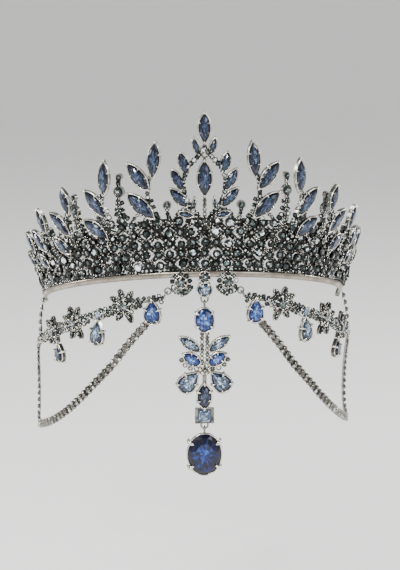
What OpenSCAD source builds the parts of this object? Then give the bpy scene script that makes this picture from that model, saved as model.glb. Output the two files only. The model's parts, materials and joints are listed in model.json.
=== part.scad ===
// Bridal crown: a spired half-circle tiara with a jewelled garland, a central
// pendant and two side chains. The origin is the centre of the head seat.

/* [Tiara] */
// Inner radius of the band where it sits on the head
head_r = 75; // [72:0.5:78]
// Tilt of the band, front edge raised
band_tilt = 19; // [17:0.5:21]
// Outward flare of the tiara wall
wall_flare = 18; // [16:0.5:20]
// Height of the plain band
band_h = 3.0; // [2.6:0.1:3.4]
// Thickness of the plain band
band_t = 1.3; // [1.2:0.1:1.5]
// Angle from the front to each end of the band
band_half_arc = 90; // [88:1:92]
// Height of the pierced gallery at the front
gallery_h = 28.5; // [27:0.5:29]
// Thickness of the gallery wall
gallery_t = 1.0; // [0.9:0.1:1.1]

/* [Settings] */
// Depth of a stone cup
cup_h = 1.9; // [1.8:0.1:2.2]
// Floor under a stone
cup_floor = 0.6; // [0.5:0.1:0.7]
// Width of the metal rim round a stone
rim = 0.5; // [0.4:0.05:0.6]
// Free space between a stone and its cup
stone_gap = 0.12; // [0.1:0.01:0.16]
// Width of the wires between the cups
wire_w = 1.3; // [1.1:0.1:1.5]
// Diameter of the small gallery stones' cups
seat_d = 3.9; // [3.6:0.1:4.1]

/* [Garland] */
// Half width of the garland's curve round the head
head_a = 79; // [78:0.5:80]
// Depth of the garland's curve in front of the origin
head_b = 72; // [71.5:0.5:73]

/* [Pendant] */
// Distance of the pendant in front of the origin
pendant_y = 72.3; // [72.1:0.1:72.5]
// Radius of the wire of a hinge ring
ring_wire = 0.4; // [0.35:0.05:0.45]
// Radius of a hinge ring to the middle of its wire
ring_r = 1.7; // [1.65:0.05:1.8]
// Height of the upper swing axis
pendant_pivot_z = 12.2; // [12:0.1:12.4]
// Height of the lower swing axis
drop_pivot_z = -50; // [-50.2:0.1:-49.8]

/* [Chains] */
// Distance between the links of a cup chain
link_pitch = 3.6; // [3.5:0.1:3.8]
// Diameter of one cup of the chain
link_cup_d = 2.2; // [2.0:0.1:2.3]

/* [Hidden] */
$fn = 48;
silver = "silver";
steel_blue = [0.45, 0.55, 0.75];
royal_blue = [0.10, 0.20, 0.60];
smoke = [0.30, 0.36, 0.40];
pale = [0.80, 0.86, 0.92];

embed = 0.3;             // how far a cup's back sinks into the wall
pavilion = 1.0;          // depth of a stone below its girdle
girdle_t = 0.2;          // thickness of a stone's girdle
stone_lift = cup_floor + 0.15 + pavilion;   // girdle above the cup's back
seat_h = 1.5;            // depth of a small gallery cup
seat_stone_d = seat_d - 2 * (rim - 0.1 + stone_gap);
ring_drop = 0.7;         // centre of a hanging ring below the wire it hangs on

// Spire leaves, right half: tip angle, tip height, foot angle, foot height, width
SPIRES = [
    [13.6, 66.0, 15.6, 47.5, 6.6],
    [29.6, 59.0, 31.8, 41.2, 6.4],
    [47.2, 49.0, 46.6, 34.5, 6.0],
    [62.4, 42.0, 60.6, 28.5, 6.0],
    [77.0, 33.5, 73.2, 21.0, 5.8]
];
// Side leaves, right half, in the same columns
SIDE_LEAVES = [
    [22.8, 56.5, 16.6, 42.0, 7.0],
    [24.2, 42.2, 15.6, 28.4, 7.6],
    [38.4, 46.0, 31.6, 30.5, 7.0],
    [41.0, 32.0, 32.4, 20.5, 7.0],
    [55.6, 38.5, 47.6, 24.5, 6.8],
    [57.2, 26.0, 49.6, 16.0, 6.4],
    [70.8, 33.0, 63.2, 19.5, 6.4],
    [71.8, 20.5, 64.2, 12.0, 5.8],
    [84.6, 25.0, 76.6, 14.5, 5.6]
];
// Palmette leaves on the middle line, then the right leaf of each pair
PALMETTE_TIP = [0, 79.0, 0, 63.0, 6.4];
PALMETTE_HEART = [0, 56.5, 0, 38.0, 7.6];
PALMETTE_PAIRS = [
    [7.0, 60.5, 5.2, 49.0, 5.4],
    [9.8, 52.5, 6.0, 41.0, 5.4],
    [10.8, 43.4, 5.0, 33.4, 5.6]
];
// Small leaves of the palmette: the trefoil under the tip, and the petals
SMALL_LEAVES = [
    [3.2, 67.2, 1.6, 57.6, 3.8],
    [8.8, 31.4, 2.8, 29.3, 3.6],
    [3.0, 39.2, 3.3, 31.6, 2.4]
];
// Round stones between the sprays, right half: angle, height, diameter
CHATONS = [
    [11.6, 35.0, 4.2],
    [26.4, 43.0, 5.4],
    [25.6, 50.0, 3.4],
    [43.6, 36.5, 5.0],
    [42.9, 43.0, 3.2],
    [58.6, 29.0, 4.4],
    [73.0, 17.0, 4.0]
];
// Stems, right half: each a row of angle and height pairs, foot first
STEMS = [
    [[14.0, 23], [16.6, 31], [17.4, 40], [16.6, 47], [15.1, 52]],
    [[29.5, 22], [32.6, 30], [33.0, 38], [31.5, 45]],
    [[45.5, 20], [49.4, 27], [48.4, 33], [46.4, 38]],
    [[60.0, 17], [64.0, 23], [62.8, 28], [60.7, 33]],
    [[74.0, 13], [77.6, 17], [75.6, 21.5], [73.9, 25]],
    [[24.0, 23], [27.2, 31], [27.0, 39], [25.7, 50]],
    [[40.6, 20], [43.9, 28], [43.6, 37], [42.9, 42]],
    [[56.4, 17], [58.6, 23], [58.6, 29]],
    [[70.6, 12], [72.8, 17]],
    [[9.6, 25], [11.5, 30], [11.6, 34]],
    [[0.8, 26], [3.4, 31], [5.9, 39], [6.4, 46], [4.8, 53], [1.8, 58], [0, 61.5]]
];
MIDDLE_STEM = [[0, 24], [0, 32], [0, 39.5], [0, 48], [0, 56], [0, 65]];

knot_d = wire_w + 0.4;   // a stem's knots are a little wider than its wire
stem_lift = embed + 0.1; // back of a stem above the wall's inner face
vine_lift = 0.2;         // back of the garland's wire above the head's curve

// Past each end of the band: degrees to the loop, its diameter and its hole
LOOP = [2.6, 5.6, 3.2];

// Gallery: columns of gaps either side of the middle, and rows up the wall
gallery_columns = 10;
gallery_rows = 5;
column_step = 7.8;
first_row = 6.6;
row_step = 5.1;
gap_w = 7.4;
gap_h = 6.6;
fall_angle = 8.5;        // how far the gallery's top edge falls to the sides
gallery_back = 0.1;      // back of the gallery above the wall's inner face
gallery_end = 7;         // degrees of band past the gallery's last gap

// Cluster at the band's front: angle, height, length, width
CLUSTER_TOP = [0, 0.2, 6.2, 6.2];
CLUSTER_OVAL = [0, -6.0, 7.2, 7.6];
CLUSTER_SIDE = [8.4, -2.2, 6.4, 6.4];
CLUSTER_LEAVES = [
    [12.6, -5.0, 7.6, -7.6, 3.2],
    [4.0, -4.0, 8.8, -8.8, 3.0]
];

// Garland settings, right half: name, angle, height, lean, length, width
GARLAND = [
    ["pear", 18.0, 7.4, 0, 13.0, 8.8],
    ["round", 28.0, 9.2, 0, 7.4, 7.4],
    ["round", 38.4, 3.6, 0, 6.0, 6.0],
    ["pear", 39.4, -5.4, -6, 13.4, 8.2],
    ["round", 50.0, -2.6, 0, 7.2, 7.2],
    ["oval", 63.5, -11.0, 20, 7.6, 6.6],
    ["pear", 59.5, -20.0, 0, 9.6, 7.8]
];
// Leaves round the garland's flowers: angle, height, and the leaf's turns
FLOWERS = [
    [28.0, 9.2, [-70, -25, 20, 62, 150, 205]],
    [50.0, -2.6, [-60, -15, 30, 75, 165, 215]],
    [63.5, -11.0, [-40, 5, 50, 95]]
];
leaf_l = 6.2;
leaf_w = 3.2;
VINE = [
    [14.3, 14.6], [18.0, 12.8], [23.0, 11.6], [28.0, 9.2], [33.5, 6.6], [38.4, 3.6],
    [44.0, 0.6], [50.0, -2.6], [56.5, -6.6], [63.5, -11.0], [71.0, -15.0], [78.0, -17.6]
];
PEAR_3_STEM = [[61.0, -12.0], [59.8, -16.5]];
// Flat eye at the garland's end: angle, height, diameter, hole
GARLAND_EYE = [79.4, -17.8, 4.6, 2.2];
leaf_foot = 2.6;         // from a flower's middle to the foot of its leaves
// Pair of small rings that links the garland to the cluster: angle, height, turn
GARLAND_LINK = [13.0, 16.9, -38];
link_ring_r = 1.5;
link_ring_gap = 0.2;

// Side chain laid on the head, right half: angle, height, distance out
SIDE_CHAIN = [
    [20.1, 1.5, 0], [27.0, -9.5, 0], [34.0, -21.5, 0], [42.0, -32.5, 0], [50.0, -42.5, 0],
    [58.0, -50.5, 0], [67.0, -57.0, 0], [77.0, -62.0, 0], [86.5, -65.0, 0.4],
    [92.5, -62.5, 0.6], [94.0, -54.0, 0.4], [93.0, -42.0, 0.2], [90.0, -31.0, 0.2],
    [85.0, -22.6, 0.2], [81.0, -19.3, 0]
];
END_STRAND = [[84.6, 2.1, -2.6], [83.4, -4.0, -1.2], [81.8, -9.6, -0.2], [80.0, -15.4, 0]];
link_cup_h = 1.4;        // height of a link's cup
link_stone_h = 0.5;      // height of the stone that stands out of it
link_plate_t = 0.5;      // thickness of a link's plate
link_slack = 0.3;        // free space between two plates

// Pendant settings: name, sideways place, height, lean, length, width
PENDANT_OVAL = ["oval", 0, 3.7, 0, 12.4, 9.8];
PENDANT_TAIL = ["marquise", 0, -34.0, 0, 13.6, 7.6];
WING_LEAF = ["marquise", 7.0, -8.1, 55, 13.6, 5.6];
WING_BLUE = ["marquise", 6.0, -15.6, 58, 10.8, 6.4];
WING_PEAR = ["pear", 7.3, -26.4, -44, 13.4, 9.6];
BAGUETTE = [0, -43.6, 7.6, 9.2];
baguette_rail = 1.4;     // width of the rails beside the baguette
baguette_corner = 0.8;   // corners taken off the baguette
DROP = ["oval", 0, -63.0, 0, 21.4, 17.4];
// Bars: sideways place, height of the middle, width, length
PENDANT_BAR = [1.3, -10.5, 1, 17];
TAIL_BAR = [0, -25.0, 2, 8];
// Round knot between the wings: height and diameter
WING_KNOT = [-20.5, 6];
WING = [WING_LEAF, WING_BLUE, WING_PEAR];

// Outlines

// A lens of two equal arcs, drawn in by inset
function lens_radius(l, w) = (l * l + w * w) / (4 * w);
function lens_points(l, w, inset, n) =
    let (middle = lens_radius(l, w) - w / 2, r = lens_radius(l, w) - inset,
         reach = acos(middle / r), half = n / 2)
    concat(
        [for (i = [0 : half - 1]) let (a = reach * (2 * i / half - 1)) [r * cos(a) - middle, r * sin(a)]],
        [for (i = [0 : half - 1]) let (a = reach * (1 - 2 * i / half)) [middle - r * cos(a), r * sin(a)]]
    );

function oval_points(l, w, inset, n) =
    [for (i = [0 : n - 1]) let (a = 360 * i / n) [(w / 2 - inset) * cos(a), (l / 2 - inset) * sin(a)]];

// A drop with its point up: the width swells as sin(a) sin(a/2), which peaks at pear_peak
pear_peak = 0.77;
function pear_points(l, w, inset, n) =
    let (k = 1 - 2 * inset / w)
    [for (i = [0 : n - 1]) let (a = 360 * i / n)
        [-k * w / 2 / pear_peak * sin(a) * abs(sin(a / 2)), k * l / 2 * cos(a)]];

function outline(kind, l, w, inset, n) =
    kind == "marquise" ? lens_points(l, w, inset, n)
    : kind == "pear" ? pear_points(l, w, inset, n)
    : oval_points(l, w, inset, n);

module shape(kind, l, w, inset = 0) {
    if (kind == "round")
        circle(d = w - 2 * inset);
    else if (kind == "marquise")
        intersection_for (side = [-1, 1])
            translate([side * (lens_radius(l, w) - w / 2), 0])
                circle(r = lens_radius(l, w) - inset, $fn = 96);
    else
        polygon(outline(kind, l, w, inset, 20));
}

// Settings and stones, lying on the XY plane and facing +Z

// A cup is a solid block and the recess for its stone, so that a recess can be
// cut through everything soldered to the block
module block(kind, l, w, depth = cup_h) {
    linear_extrude(depth) shape(kind, l, w);
}

module recess(kind, l, w, depth = cup_h) {
    translate([0, 0, cup_floor]) linear_extrude(depth + 1) shape(kind, l, w, rim);
}

module cup(kind, l, w, depth = cup_h) {
    difference() {
        block(kind, l, w, depth);
        recess(kind, l, w, depth);
    }
}

// A cut stone: pointed back, girdle, sloping crown facets and a flat table
module cut_stone(points, crown, back = pavilion, girdle = girdle_t, table = 0.58) {
    n = len(points);
    rings = girdle > 0 ? [[1, 0], [1, girdle], [table, girdle + crown]] : [[1, 0], [table, crown]];
    corners = [for (r = rings) for (p = points) [p[0] * r[0], p[1] * r[0], r[1]]];
    last = len(rings) - 1;
    polyhedron(
        points = concat(corners, [[0, 0, -back]]),
        faces = concat(
            [for (i = [0 : n - 1]) [i, (i + 1) % n, len(corners)]],
            [for (k = [0 : last - 1]) for (i = [0 : n - 1])
                [k * n + i, (k + 1) * n + i, (k + 1) * n + (i + 1) % n, k * n + (i + 1) % n]],
            [[for (i = [n - 1 : -1 : 0]) last * n + i]]
        )
    );
}

module stone(kind, l, w) {
    translate([0, 0, stone_lift])
        cut_stone(outline(kind, l, w, rim + stone_gap, kind == "round" ? 10 : 12), 0.6 + 0.07 * w);
}

module small_stone(d) {
    translate([0, 0, cup_floor + 0.65])
        cut_stone(oval_points(d, d, 0, 8), 0.6, back = 0.5, girdle = 0);
}

// Places on the tiara wall, on the head and on the pendant: x sideways, y up, z outwards

module on_wall(theta, s, lean = 0, out = 0) {
    rotate([-band_tilt, 0, 0]) rotate([0, 0, theta]) translate([0, -head_r, 0])
        rotate([wall_flare, 0, 0]) translate([0, -out, s]) rotate([0, lean, 0])
            rotate([90, 0, 0]) children();
}

function head_turn(phi) = atan2(head_b * sin(phi), head_a * cos(phi));

module on_head(phi, z, lean = 0, out = 0) {
    translate([head_a * sin(phi), -head_b * cos(phi), z]) rotate([0, 0, head_turn(phi)])
        translate([0, -out, 0]) rotate([0, lean, 0]) rotate([90, 0, 0]) children();
}

module on_pendant(x, z, lean = 0) {
    translate([x, -pendant_y, z]) rotate([0, lean, 0]) rotate([90, 0, 0])
        translate([0, 0, -cup_h / 2]) children();
}

// Millimetres of arc for one degree, on the wall and on the head
function wall_mm(s) = (head_r + s * sin(wall_flare)) * PI / 180;
function head_mm(phi) = norm([head_a * cos(phi), head_b * sin(phi)]) * PI / 180;

// A leaf row is tip angle, tip height, foot angle, foot height, width
function leaf_run(leaf, side) =
    [side * (leaf[0] - leaf[2]) * wall_mm((leaf[1] + leaf[3]) / 2), leaf[1] - leaf[3]];

module at_leaf(leaf, side) {
    run = leaf_run(leaf, side);
    on_wall(side * (leaf[0] + leaf[2]) / 2, (leaf[1] + leaf[3]) / 2, atan2(run[0], run[1]), embed)
        children();
}

module leaf_block(leaf, side) {
    at_leaf(leaf, side) block("marquise", norm(leaf_run(leaf, side)), leaf[4]);
}

module leaf_recess(leaf, side) {
    at_leaf(leaf, side) recess("marquise", norm(leaf_run(leaf, side)), leaf[4]);
}

module leaf_stone(leaf, side) {
    at_leaf(leaf, side) stone("marquise", norm(leaf_run(leaf, side)), leaf[4]);
}

// A wire along a row of places, with a round knot at each
module knot() {
    translate([0, 0, -0.05]) cylinder(d = knot_d, h = wire_w + 0.15);
}

module wall_wire(row, side) {
    for (i = [0 : len(row) - 1]) {
        on_wall(side * row[i][0], row[i][1], 0, stem_lift) knot();
        if (i > 0) {
            s = (row[i][1] + row[i - 1][1]) / 2;
            run = [side * (row[i][0] - row[i - 1][0]) * wall_mm(s), row[i][1] - row[i - 1][1]];
            on_wall(side * (row[i][0] + row[i - 1][0]) / 2, s, atan2(run[0], run[1]), stem_lift)
                translate([-wire_w / 2, -norm(run) / 2, 0]) cube([wire_w, norm(run), wire_w]);
        }
    }
}

module head_wire(row, side) {
    for (i = [0 : len(row) - 1]) {
        on_head(side * row[i][0], row[i][1], 0, vine_lift) knot();
        if (i > 0) {
            phi = (row[i][0] + row[i - 1][0]) / 2;
            run = [side * (row[i][0] - row[i - 1][0]) * head_mm(phi), row[i][1] - row[i - 1][1]];
            on_head(side * phi, (row[i][1] + row[i - 1][1]) / 2, atan2(run[0], run[1]), vine_lift)
                translate([-wire_w / 2, -norm(run) / 2, 0]) cube([wire_w, norm(run), wire_w]);
        }
    }
}

// Tiara

// Radius and height of a place in the wall's section, before the tilt
function wall_point(s, n) = [
    head_r + s * sin(wall_flare) + n * cos(wall_flare),
    s * cos(wall_flare) - n * sin(wall_flare)
];

// A wall of flat facets: the section is carried round from ring to ring, each ring
// an angle from the front
module faceted_wall(section, rings) {
    n = len(section);
    last = len(rings) - 1;
    polyhedron(
        points = [for (theta = rings) for (p = section) [p[0] * sin(theta), -p[0] * cos(theta), p[1]]],
        faces = concat(
            [[for (i = [n - 1 : -1 : 0]) i], [for (i = [0 : n - 1]) n * last + i]],
            [for (k = [0 : last - 1]) for (i = [0 : n - 1])
                [n * k + i, n * k + (i + 1) % n, n * (k + 1) + (i + 1) % n, n * (k + 1) + i]]
        )
    );
}

// The rings stand half a column apart, so that each small cup and each gap of the
// gallery stands on one flat facet
facets = 2 * gallery_columns + 1;
wall_rings = [for (k = [-facets : facets + 1]) (k - 0.5) * column_step / 2];

module band() {
    section = [wall_point(0, 0), wall_point(0, band_t), wall_point(band_h, band_t), wall_point(band_h, 0)];
    rotate([-band_tilt, 0, 0])
        faceted_wall(section, concat([-band_half_arc], wall_rings, [band_half_arc]));
}

// The share of its front height that the gallery keeps at an angle from the front
function gallery_share(theta) =
    1 - head_r * (1 - cos(theta)) * tan(fall_angle) / (gallery_h * cos(wall_flare));
function row_s(theta, row) =
    band_h + (first_row - band_h + row * row_step) * gallery_share(theta);

module gallery_blank() {
    faceted_wall([wall_point(band_h / 2, gallery_back), wall_point(band_h / 2, gallery_t),
                  wall_point(gallery_h, gallery_t), wall_point(gallery_h, gallery_back)], wall_rings);
}

// The blank is cut off above by the lower face of a block wider than the crown, then
// cut through by the gaps
module gallery_wall() {
    top = wall_point(gallery_h, 0);
    difference() {
        rotate([-band_tilt, 0, 0]) gallery_blank();
        rotate([-band_tilt, 0, 0]) translate([0, -top[0], top[1]]) rotate([-fall_angle, 0, 0])
            translate([-150, -50, 0]) cube([300, 250, 60]);
        for (row = [0 : gallery_rows - 1])
            for (k = [-gallery_columns : gallery_columns]) {
                theta = column_step * (k + (row % 2) / 2);
                share = gallery_share(theta);
                if (abs(theta) < band_half_arc - gallery_end)
                    on_wall(theta, row_s(theta, row), 0, -3)
                        linear_extrude(8)
                            scale([gap_w / 2, gap_h / 2 * share])
                                polygon([[1, 0], [0, 1], [-1, 0], [0, -1]]);
            }
    }
}

// Distance on the wall between a place and the line from a to b
function wall_span(a, b) = [(a[0] - b[0]) * wall_mm((a[1] + b[1]) / 2), a[1] - b[1]];
function wall_distance(place, a, b) =
    let (run = wall_span(b, a), to = wall_span(place, a), t = max(0, min(1, to * run / (run * run))))
    norm(to - t * run);

// A place is free for a small cup where no leaf, round cup or stem stands over it
function is_free(place) =
    min([for (leaf = HALF_LEAVES)
        wall_distance(place, [leaf[0], leaf[1]], [leaf[2], leaf[3]]) - 0.4 * leaf[4]]) > seat_d / 2
    && min([for (c = CHATONS) norm(wall_span(place, c)) - c[2] / 2]) > seat_d / 2
    && min([for (stem = concat(STEMS, [MIDDLE_STEM])) for (i = [1 : len(stem) - 1])
        wall_distance(place, stem[i - 1], stem[i])]) > (seat_d + wire_w) / 2 + 0.2;

module at_seats(side) {
    for (row = [0 : gallery_rows - 1])
        for (k = [0 : gallery_columns]) {
            theta = column_step * (k + (1 - row % 2) / 2);
            if (theta < band_half_arc - gallery_end && (side > 0 || theta > 0)
                && is_free([theta, row_s(theta, row)]))
                on_wall(side * theta, row_s(theta, row), 0, embed) children();
        }
}

// A flat loop past the band's end, joined to it by a short neck
module end_loop(side) {
    neck = [2, 2.2, band_t + 0.15];
    on_wall(side * (band_half_arc + LOOP[0]), band_h / 2, 0, -0.2) {
        difference() {
            cylinder(d = LOOP[1], h = band_t + 0.4);
            translate([0, 0, -1]) cylinder(d = LOOP[2], h = 4);
        }
        translate([-side * (LOOP[1] / 2 + 0.5) - neck[0] / 2, -neck[1] / 2, 0.1]) cube(neck);
    }
}

module at_cluster(row, side) {
    on_wall(side * row[0], row[1], 0, embed) children();
}

module hinge_eye(z) {
    translate([0, -pendant_y, z + ring_r]) rotate([90, 0, 0])
        rotate_extrude() translate([ring_r, 0]) circle(r = ring_wire, $fn = 24);
}

// Every leaf setting of one half
HALF_LEAVES = concat(SPIRES, SIDE_LEAVES, PALMETTE_PAIRS, SMALL_LEAVES);

module half_metal(side) {
    difference() {
        union() {
            for (leaf = HALF_LEAVES) leaf_block(leaf, side);
            for (c = CHATONS) on_wall(side * c[0], c[1], 0, embed) block("round", c[2], c[2]);
            for (stem = STEMS) wall_wire(stem, side);
        }
        for (leaf = HALF_LEAVES) leaf_recess(leaf, side);
        for (c = CHATONS) on_wall(side * c[0], c[1], 0, embed) recess("round", c[2], c[2]);
    }
}

module middle_metal() {
    difference() {
        union() {
            leaf_block(PALMETTE_TIP, 1);
            leaf_block(PALMETTE_HEART, 1);
            wall_wire(MIDDLE_STEM, 1);
        }
        leaf_recess(PALMETTE_TIP, 1);
        leaf_recess(PALMETTE_HEART, 1);
    }
}

module cluster_metal() {
    at_cluster(CLUSTER_TOP, 1) block("round", CLUSTER_TOP[2], CLUSTER_TOP[3]);
    at_cluster(CLUSTER_OVAL, 1) block("oval", CLUSTER_OVAL[2], CLUSTER_OVAL[3]);
    hinge_eye(pendant_pivot_z);
    for (side = [-1, 1]) {
        at_cluster(CLUSTER_SIDE, side) block("round", CLUSTER_SIDE[2], CLUSTER_SIDE[3]);
        for (leaf = CLUSTER_LEAVES) leaf_block(leaf, side);
        link_ring(side, true);
    }
}

module cluster_recesses() {
    at_cluster(CLUSTER_TOP, 1) recess("round", CLUSTER_TOP[2], CLUSTER_TOP[3]);
    at_cluster(CLUSTER_OVAL, 1) recess("oval", CLUSTER_OVAL[2], CLUSTER_OVAL[3]);
    for (side = [-1, 1])
        at_cluster(CLUSTER_SIDE, side) recess("round", CLUSTER_SIDE[2], CLUSTER_SIDE[3]);
}

module gallery_metal() {
    gallery_wall();
    for (side = [-1, 1]) at_seats(side) cup("round", seat_d, seat_d, seat_h);
}

module band_metal() {
    band();
    for (side = [-1, 1]) end_loop(side);
}

// The wall is joined group by group, then the groups to each other
module tiara_frame() {
    color(silver) {
        union() gallery_metal();
        difference() {
            union() {
                band_metal();
                cluster_metal();
            }
            cluster_recesses();
        }
        union() half_metal(-1);
        union() half_metal(1);
        union() middle_metal();
    }
}

module gallery_stones(side) {
    color(smoke) {
        at_seats(side) small_stone(seat_stone_d);
        for (c = CHATONS)
            on_wall(side * c[0], c[1], 0, embed) stone("round", c[2], c[2]);
    }
}

module palmette_small_stones() {
    color(steel_blue)
        for (side = [-1, 1]) for (leaf = SMALL_LEAVES) leaf_stone(leaf, side);
}

module side_leaf_stones(side) {
    color(steel_blue)
        for (leaf = SIDE_LEAVES) leaf_stone(leaf, side);
}

module blue_leaf_stone(leaf, side) {
    color(steel_blue) leaf_stone(leaf, side);
}

module cluster_stone(row, side, kind, tint) {
    color(tint) at_cluster(row, side) stone(kind, row[2], row[3]);
}

// Garland

module at_garland(g, side) {
    on_head(side * g[1], g[2], side * g[3]) children();
}

module garland_metal(side) {
    for (g = GARLAND) at_garland(g, side) block(g[0], g[4], g[5]);
    head_wire(VINE, side);
    head_wire(PEAR_3_STEM, side);
    link_ring(side, false);
    for (f = FLOWERS) for (turn = f[2])
        on_head(side * f[0], f[1], side * turn)
            translate([0, leaf_foot + leaf_l / 2, vine_lift])
                linear_extrude(wire_w) shape("marquise", leaf_l, leaf_w);
    on_head(side * GARLAND_EYE[0], GARLAND_EYE[1]) cylinder(d = GARLAND_EYE[2], h = wire_w);
}

module garland_frame(side) {
    color(silver)
        difference() {
            garland_metal(side);
            for (g = GARLAND) at_garland(g, side) recess(g[0], g[4], g[5]);
            on_head(side * GARLAND_EYE[0], GARLAND_EYE[1], 0, -1)
                cylinder(d = GARLAND_EYE[3], h = wire_w + 2);
        }
}

// One ring of the pair: the upper lies flat, the lower stands square to it. Their
// centres are so far apart that the wires pass with link_ring_gap between them
module link_ring(side, upper) {
    apart = 2 * (link_ring_r - ring_wire) - link_ring_gap;
    on_head(side * GARLAND_LINK[0], GARLAND_LINK[1], side * GARLAND_LINK[2], 0.85)
        translate([0, (upper ? 1 : -1) * apart / 2, 0]) rotate([0, upper ? 0 : 90, 0])
            rotate_extrude() translate([link_ring_r, 0]) circle(r = ring_wire, $fn = 24);
}

module garland_stone(i, side, tint) {
    g = GARLAND[i];
    color(tint) at_garland(g, side) stone(g[0], g[4], g[5]);
}

// Cup chains

function head_point(p, side) =
    let (turn = head_turn(p[0]))
    [side * (head_a * sin(p[0]) + p[2] * sin(turn)), -head_b * cos(p[0]) - p[2] * cos(turn), p[1]];

// A smooth curve through the places of a row; t runs from 0 to the row's last index
function curve_place(row, t) =
    let (last = len(row) - 1, i = min(floor(t), last - 1), u = t - i,
         a = row[max(i - 1, 0)], b = row[i], c = row[i + 1], d = row[min(i + 2, last)])
    (2 * b + (c - a) * u + (2 * a - 5 * b + 4 * c - d) * u * u + (3 * b - a - 3 * c + d) * u * u * u) / 2;

curve_step = 0.05;
function run_table(row, t = 0, run = 0) =
    t > len(row) - 1 - curve_step / 2 ? [[run, t]]
    : concat([[run, t]], run_table(row, t + curve_step, run + norm(
        head_point(curve_place(row, t + curve_step), 1) - head_point(curve_place(row, t), 1))));

module cup_chain(row, side) {
    table = run_table(row);
    total = table[len(table) - 1][0];
    count = round(total / link_pitch);
    for (k = [0 : count - 1]) {
        t = lookup((k + 0.5) * total / count, table);
        place = curve_place(row, t);
        before = head_point(curve_place(row, max(t - curve_step, 0)), side);
        after = head_point(curve_place(row, min(t + curve_step, len(row) - 1)), side);
        turn = side * head_turn(place[0]);
        along = after - before;
        sideways = along * [cos(turn), sin(turn), 0];
        translate(head_point(place, side)) rotate([0, 0, turn])
            rotate([0, atan2(sideways, along[2]), 0]) rotate([90, 0, 0]) chain_link();
    }
}

// One link: two cups side by side on a small plate, its length along y, each with a
// stone that stands out of it
module chain_link() {
    plate = [2 * link_cup_d, link_pitch - link_slack, link_plate_t];
    translate([-plate[0] / 2, -plate[1] / 2, 0]) cube(plate);
    for (side = [-1, 1])
        translate([side * (link_cup_d / 2 + 0.05), 0, 0]) {
            cylinder(d = link_cup_d, h = link_cup_h);
            translate([0, 0, link_cup_h - 0.01])
                cylinder(d1 = link_cup_d - 0.2, d2 = link_cup_d * 0.6, h = link_stone_h);
        }
}

module side_chain(side) {
    color(silver) cup_chain(SIDE_CHAIN, side);
}

module end_strand(side) {
    color(silver) cup_chain(END_STRAND, side);
}

// Pendant and drop

module at_pendant(row, side = 1) {
    on_pendant(side * row[1], row[2], side * row[3]) children();
}

module pendant_stone(row, side = 1) {
    at_pendant(row, side) stone(row[0], row[4], row[5]);
}

module pendant_bar(row, side = 1) {
    on_pendant(side * row[0], row[1])
        translate([-row[2] / 2, -row[3] / 2, embed]) cube([row[2], row[3], wire_w]);
}

// The ring that hangs on an eye: its plane is square to the eye's
module hanging_ring(pivot_z) {
    translate([0, -pendant_y, pivot_z - ring_drop]) rotate([0, 90, 0])
        rotate_extrude() translate([ring_r, 0]) circle(r = ring_wire, $fn = 24);
}

module pendant_metal() {
    hanging_ring(pendant_pivot_z);
    for (row = [PENDANT_OVAL, PENDANT_TAIL]) at_pendant(row) block(row[0], row[4], row[5]);
    for (side = [-1, 1]) {
        for (row = WING) at_pendant(row, side) block(row[0], row[4], row[5]);
        pendant_bar(PENDANT_BAR, side);
    }
    on_pendant(0, WING_KNOT[0]) translate([0, 0, 0.1]) cylinder(d = WING_KNOT[1], h = cup_h);
    pendant_bar(TAIL_BAR);
    on_pendant(BAGUETTE[0], BAGUETTE[1])
        translate([-BAGUETTE[3] / 2, -BAGUETTE[2] / 2, 0]) cube([BAGUETTE[3], BAGUETTE[2], cup_h]);
    hinge_eye(drop_pivot_z);
}

module baguette_recess() {
    size = [BAGUETTE[3] - 2 * baguette_rail, BAGUETTE[2] - 2 * rim, cup_h];
    on_pendant(BAGUETTE[0], BAGUETTE[1])
        translate([-size[0] / 2, -size[1] / 2, cup_floor]) cube(size);
}

module pendant_frame() {
    color(silver)
        difference() {
            pendant_metal();
            for (row = [PENDANT_OVAL, PENDANT_TAIL]) at_pendant(row) recess(row[0], row[4], row[5]);
            for (side = [-1, 1]) for (row = WING)
                at_pendant(row, side) recess(row[0], row[4], row[5]);
            baguette_recess();
        }
}

// An emerald-cut outline: a rectangle with its corners taken off
module baguette_stone() {
    x = BAGUETTE[3] / 2 - baguette_rail - stone_gap;
    y = BAGUETTE[2] / 2 - rim - stone_gap;
    c = baguette_corner;
    right = [[x - c, -y], [x, c - y], [x, y - c], [x - c, y]];
    points = concat(right, [for (p = right) -p]);
    color(pale) on_pendant(BAGUETTE[0], BAGUETTE[1]) translate([0, 0, stone_lift]) cut_stone(points, 0.9);
}

module wing_stones(side) {
    color(steel_blue) for (row = WING) pendant_stone(row, side);
}

module drop_setting() {
    color(silver) {
        hanging_ring(drop_pivot_z);
        at_pendant(DROP) cup(DROP[0], DROP[4], DROP[5]);
    }
}

tiara_frame();
gallery_stones(-1);  // gallery_stones_left
gallery_stones(1);  // gallery_stones_right
blue_leaf_stone(PALMETTE_TIP, 1);  // palmette_tip_stone
blue_leaf_stone(PALMETTE_HEART, 1);  // palmette_heart_stone
palmette_small_stones();
blue_leaf_stone(PALMETTE_PAIRS[0], -1);  // palmette_upper_stone_left
blue_leaf_stone(PALMETTE_PAIRS[0], 1);  // palmette_upper_stone_right
blue_leaf_stone(PALMETTE_PAIRS[1], -1);  // palmette_middle_stone_left
blue_leaf_stone(PALMETTE_PAIRS[1], 1);  // palmette_middle_stone_right
blue_leaf_stone(PALMETTE_PAIRS[2], -1);  // palmette_lower_stone_left
blue_leaf_stone(PALMETTE_PAIRS[2], 1);  // palmette_lower_stone_right
blue_leaf_stone(SPIRES[0], -1);  // spire_1_stone_left
blue_leaf_stone(SPIRES[0], 1);  // spire_1_stone_right
blue_leaf_stone(SPIRES[1], -1);  // spire_2_stone_left
blue_leaf_stone(SPIRES[1], 1);  // spire_2_stone_right
blue_leaf_stone(SPIRES[2], -1);  // spire_3_stone_left
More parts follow.
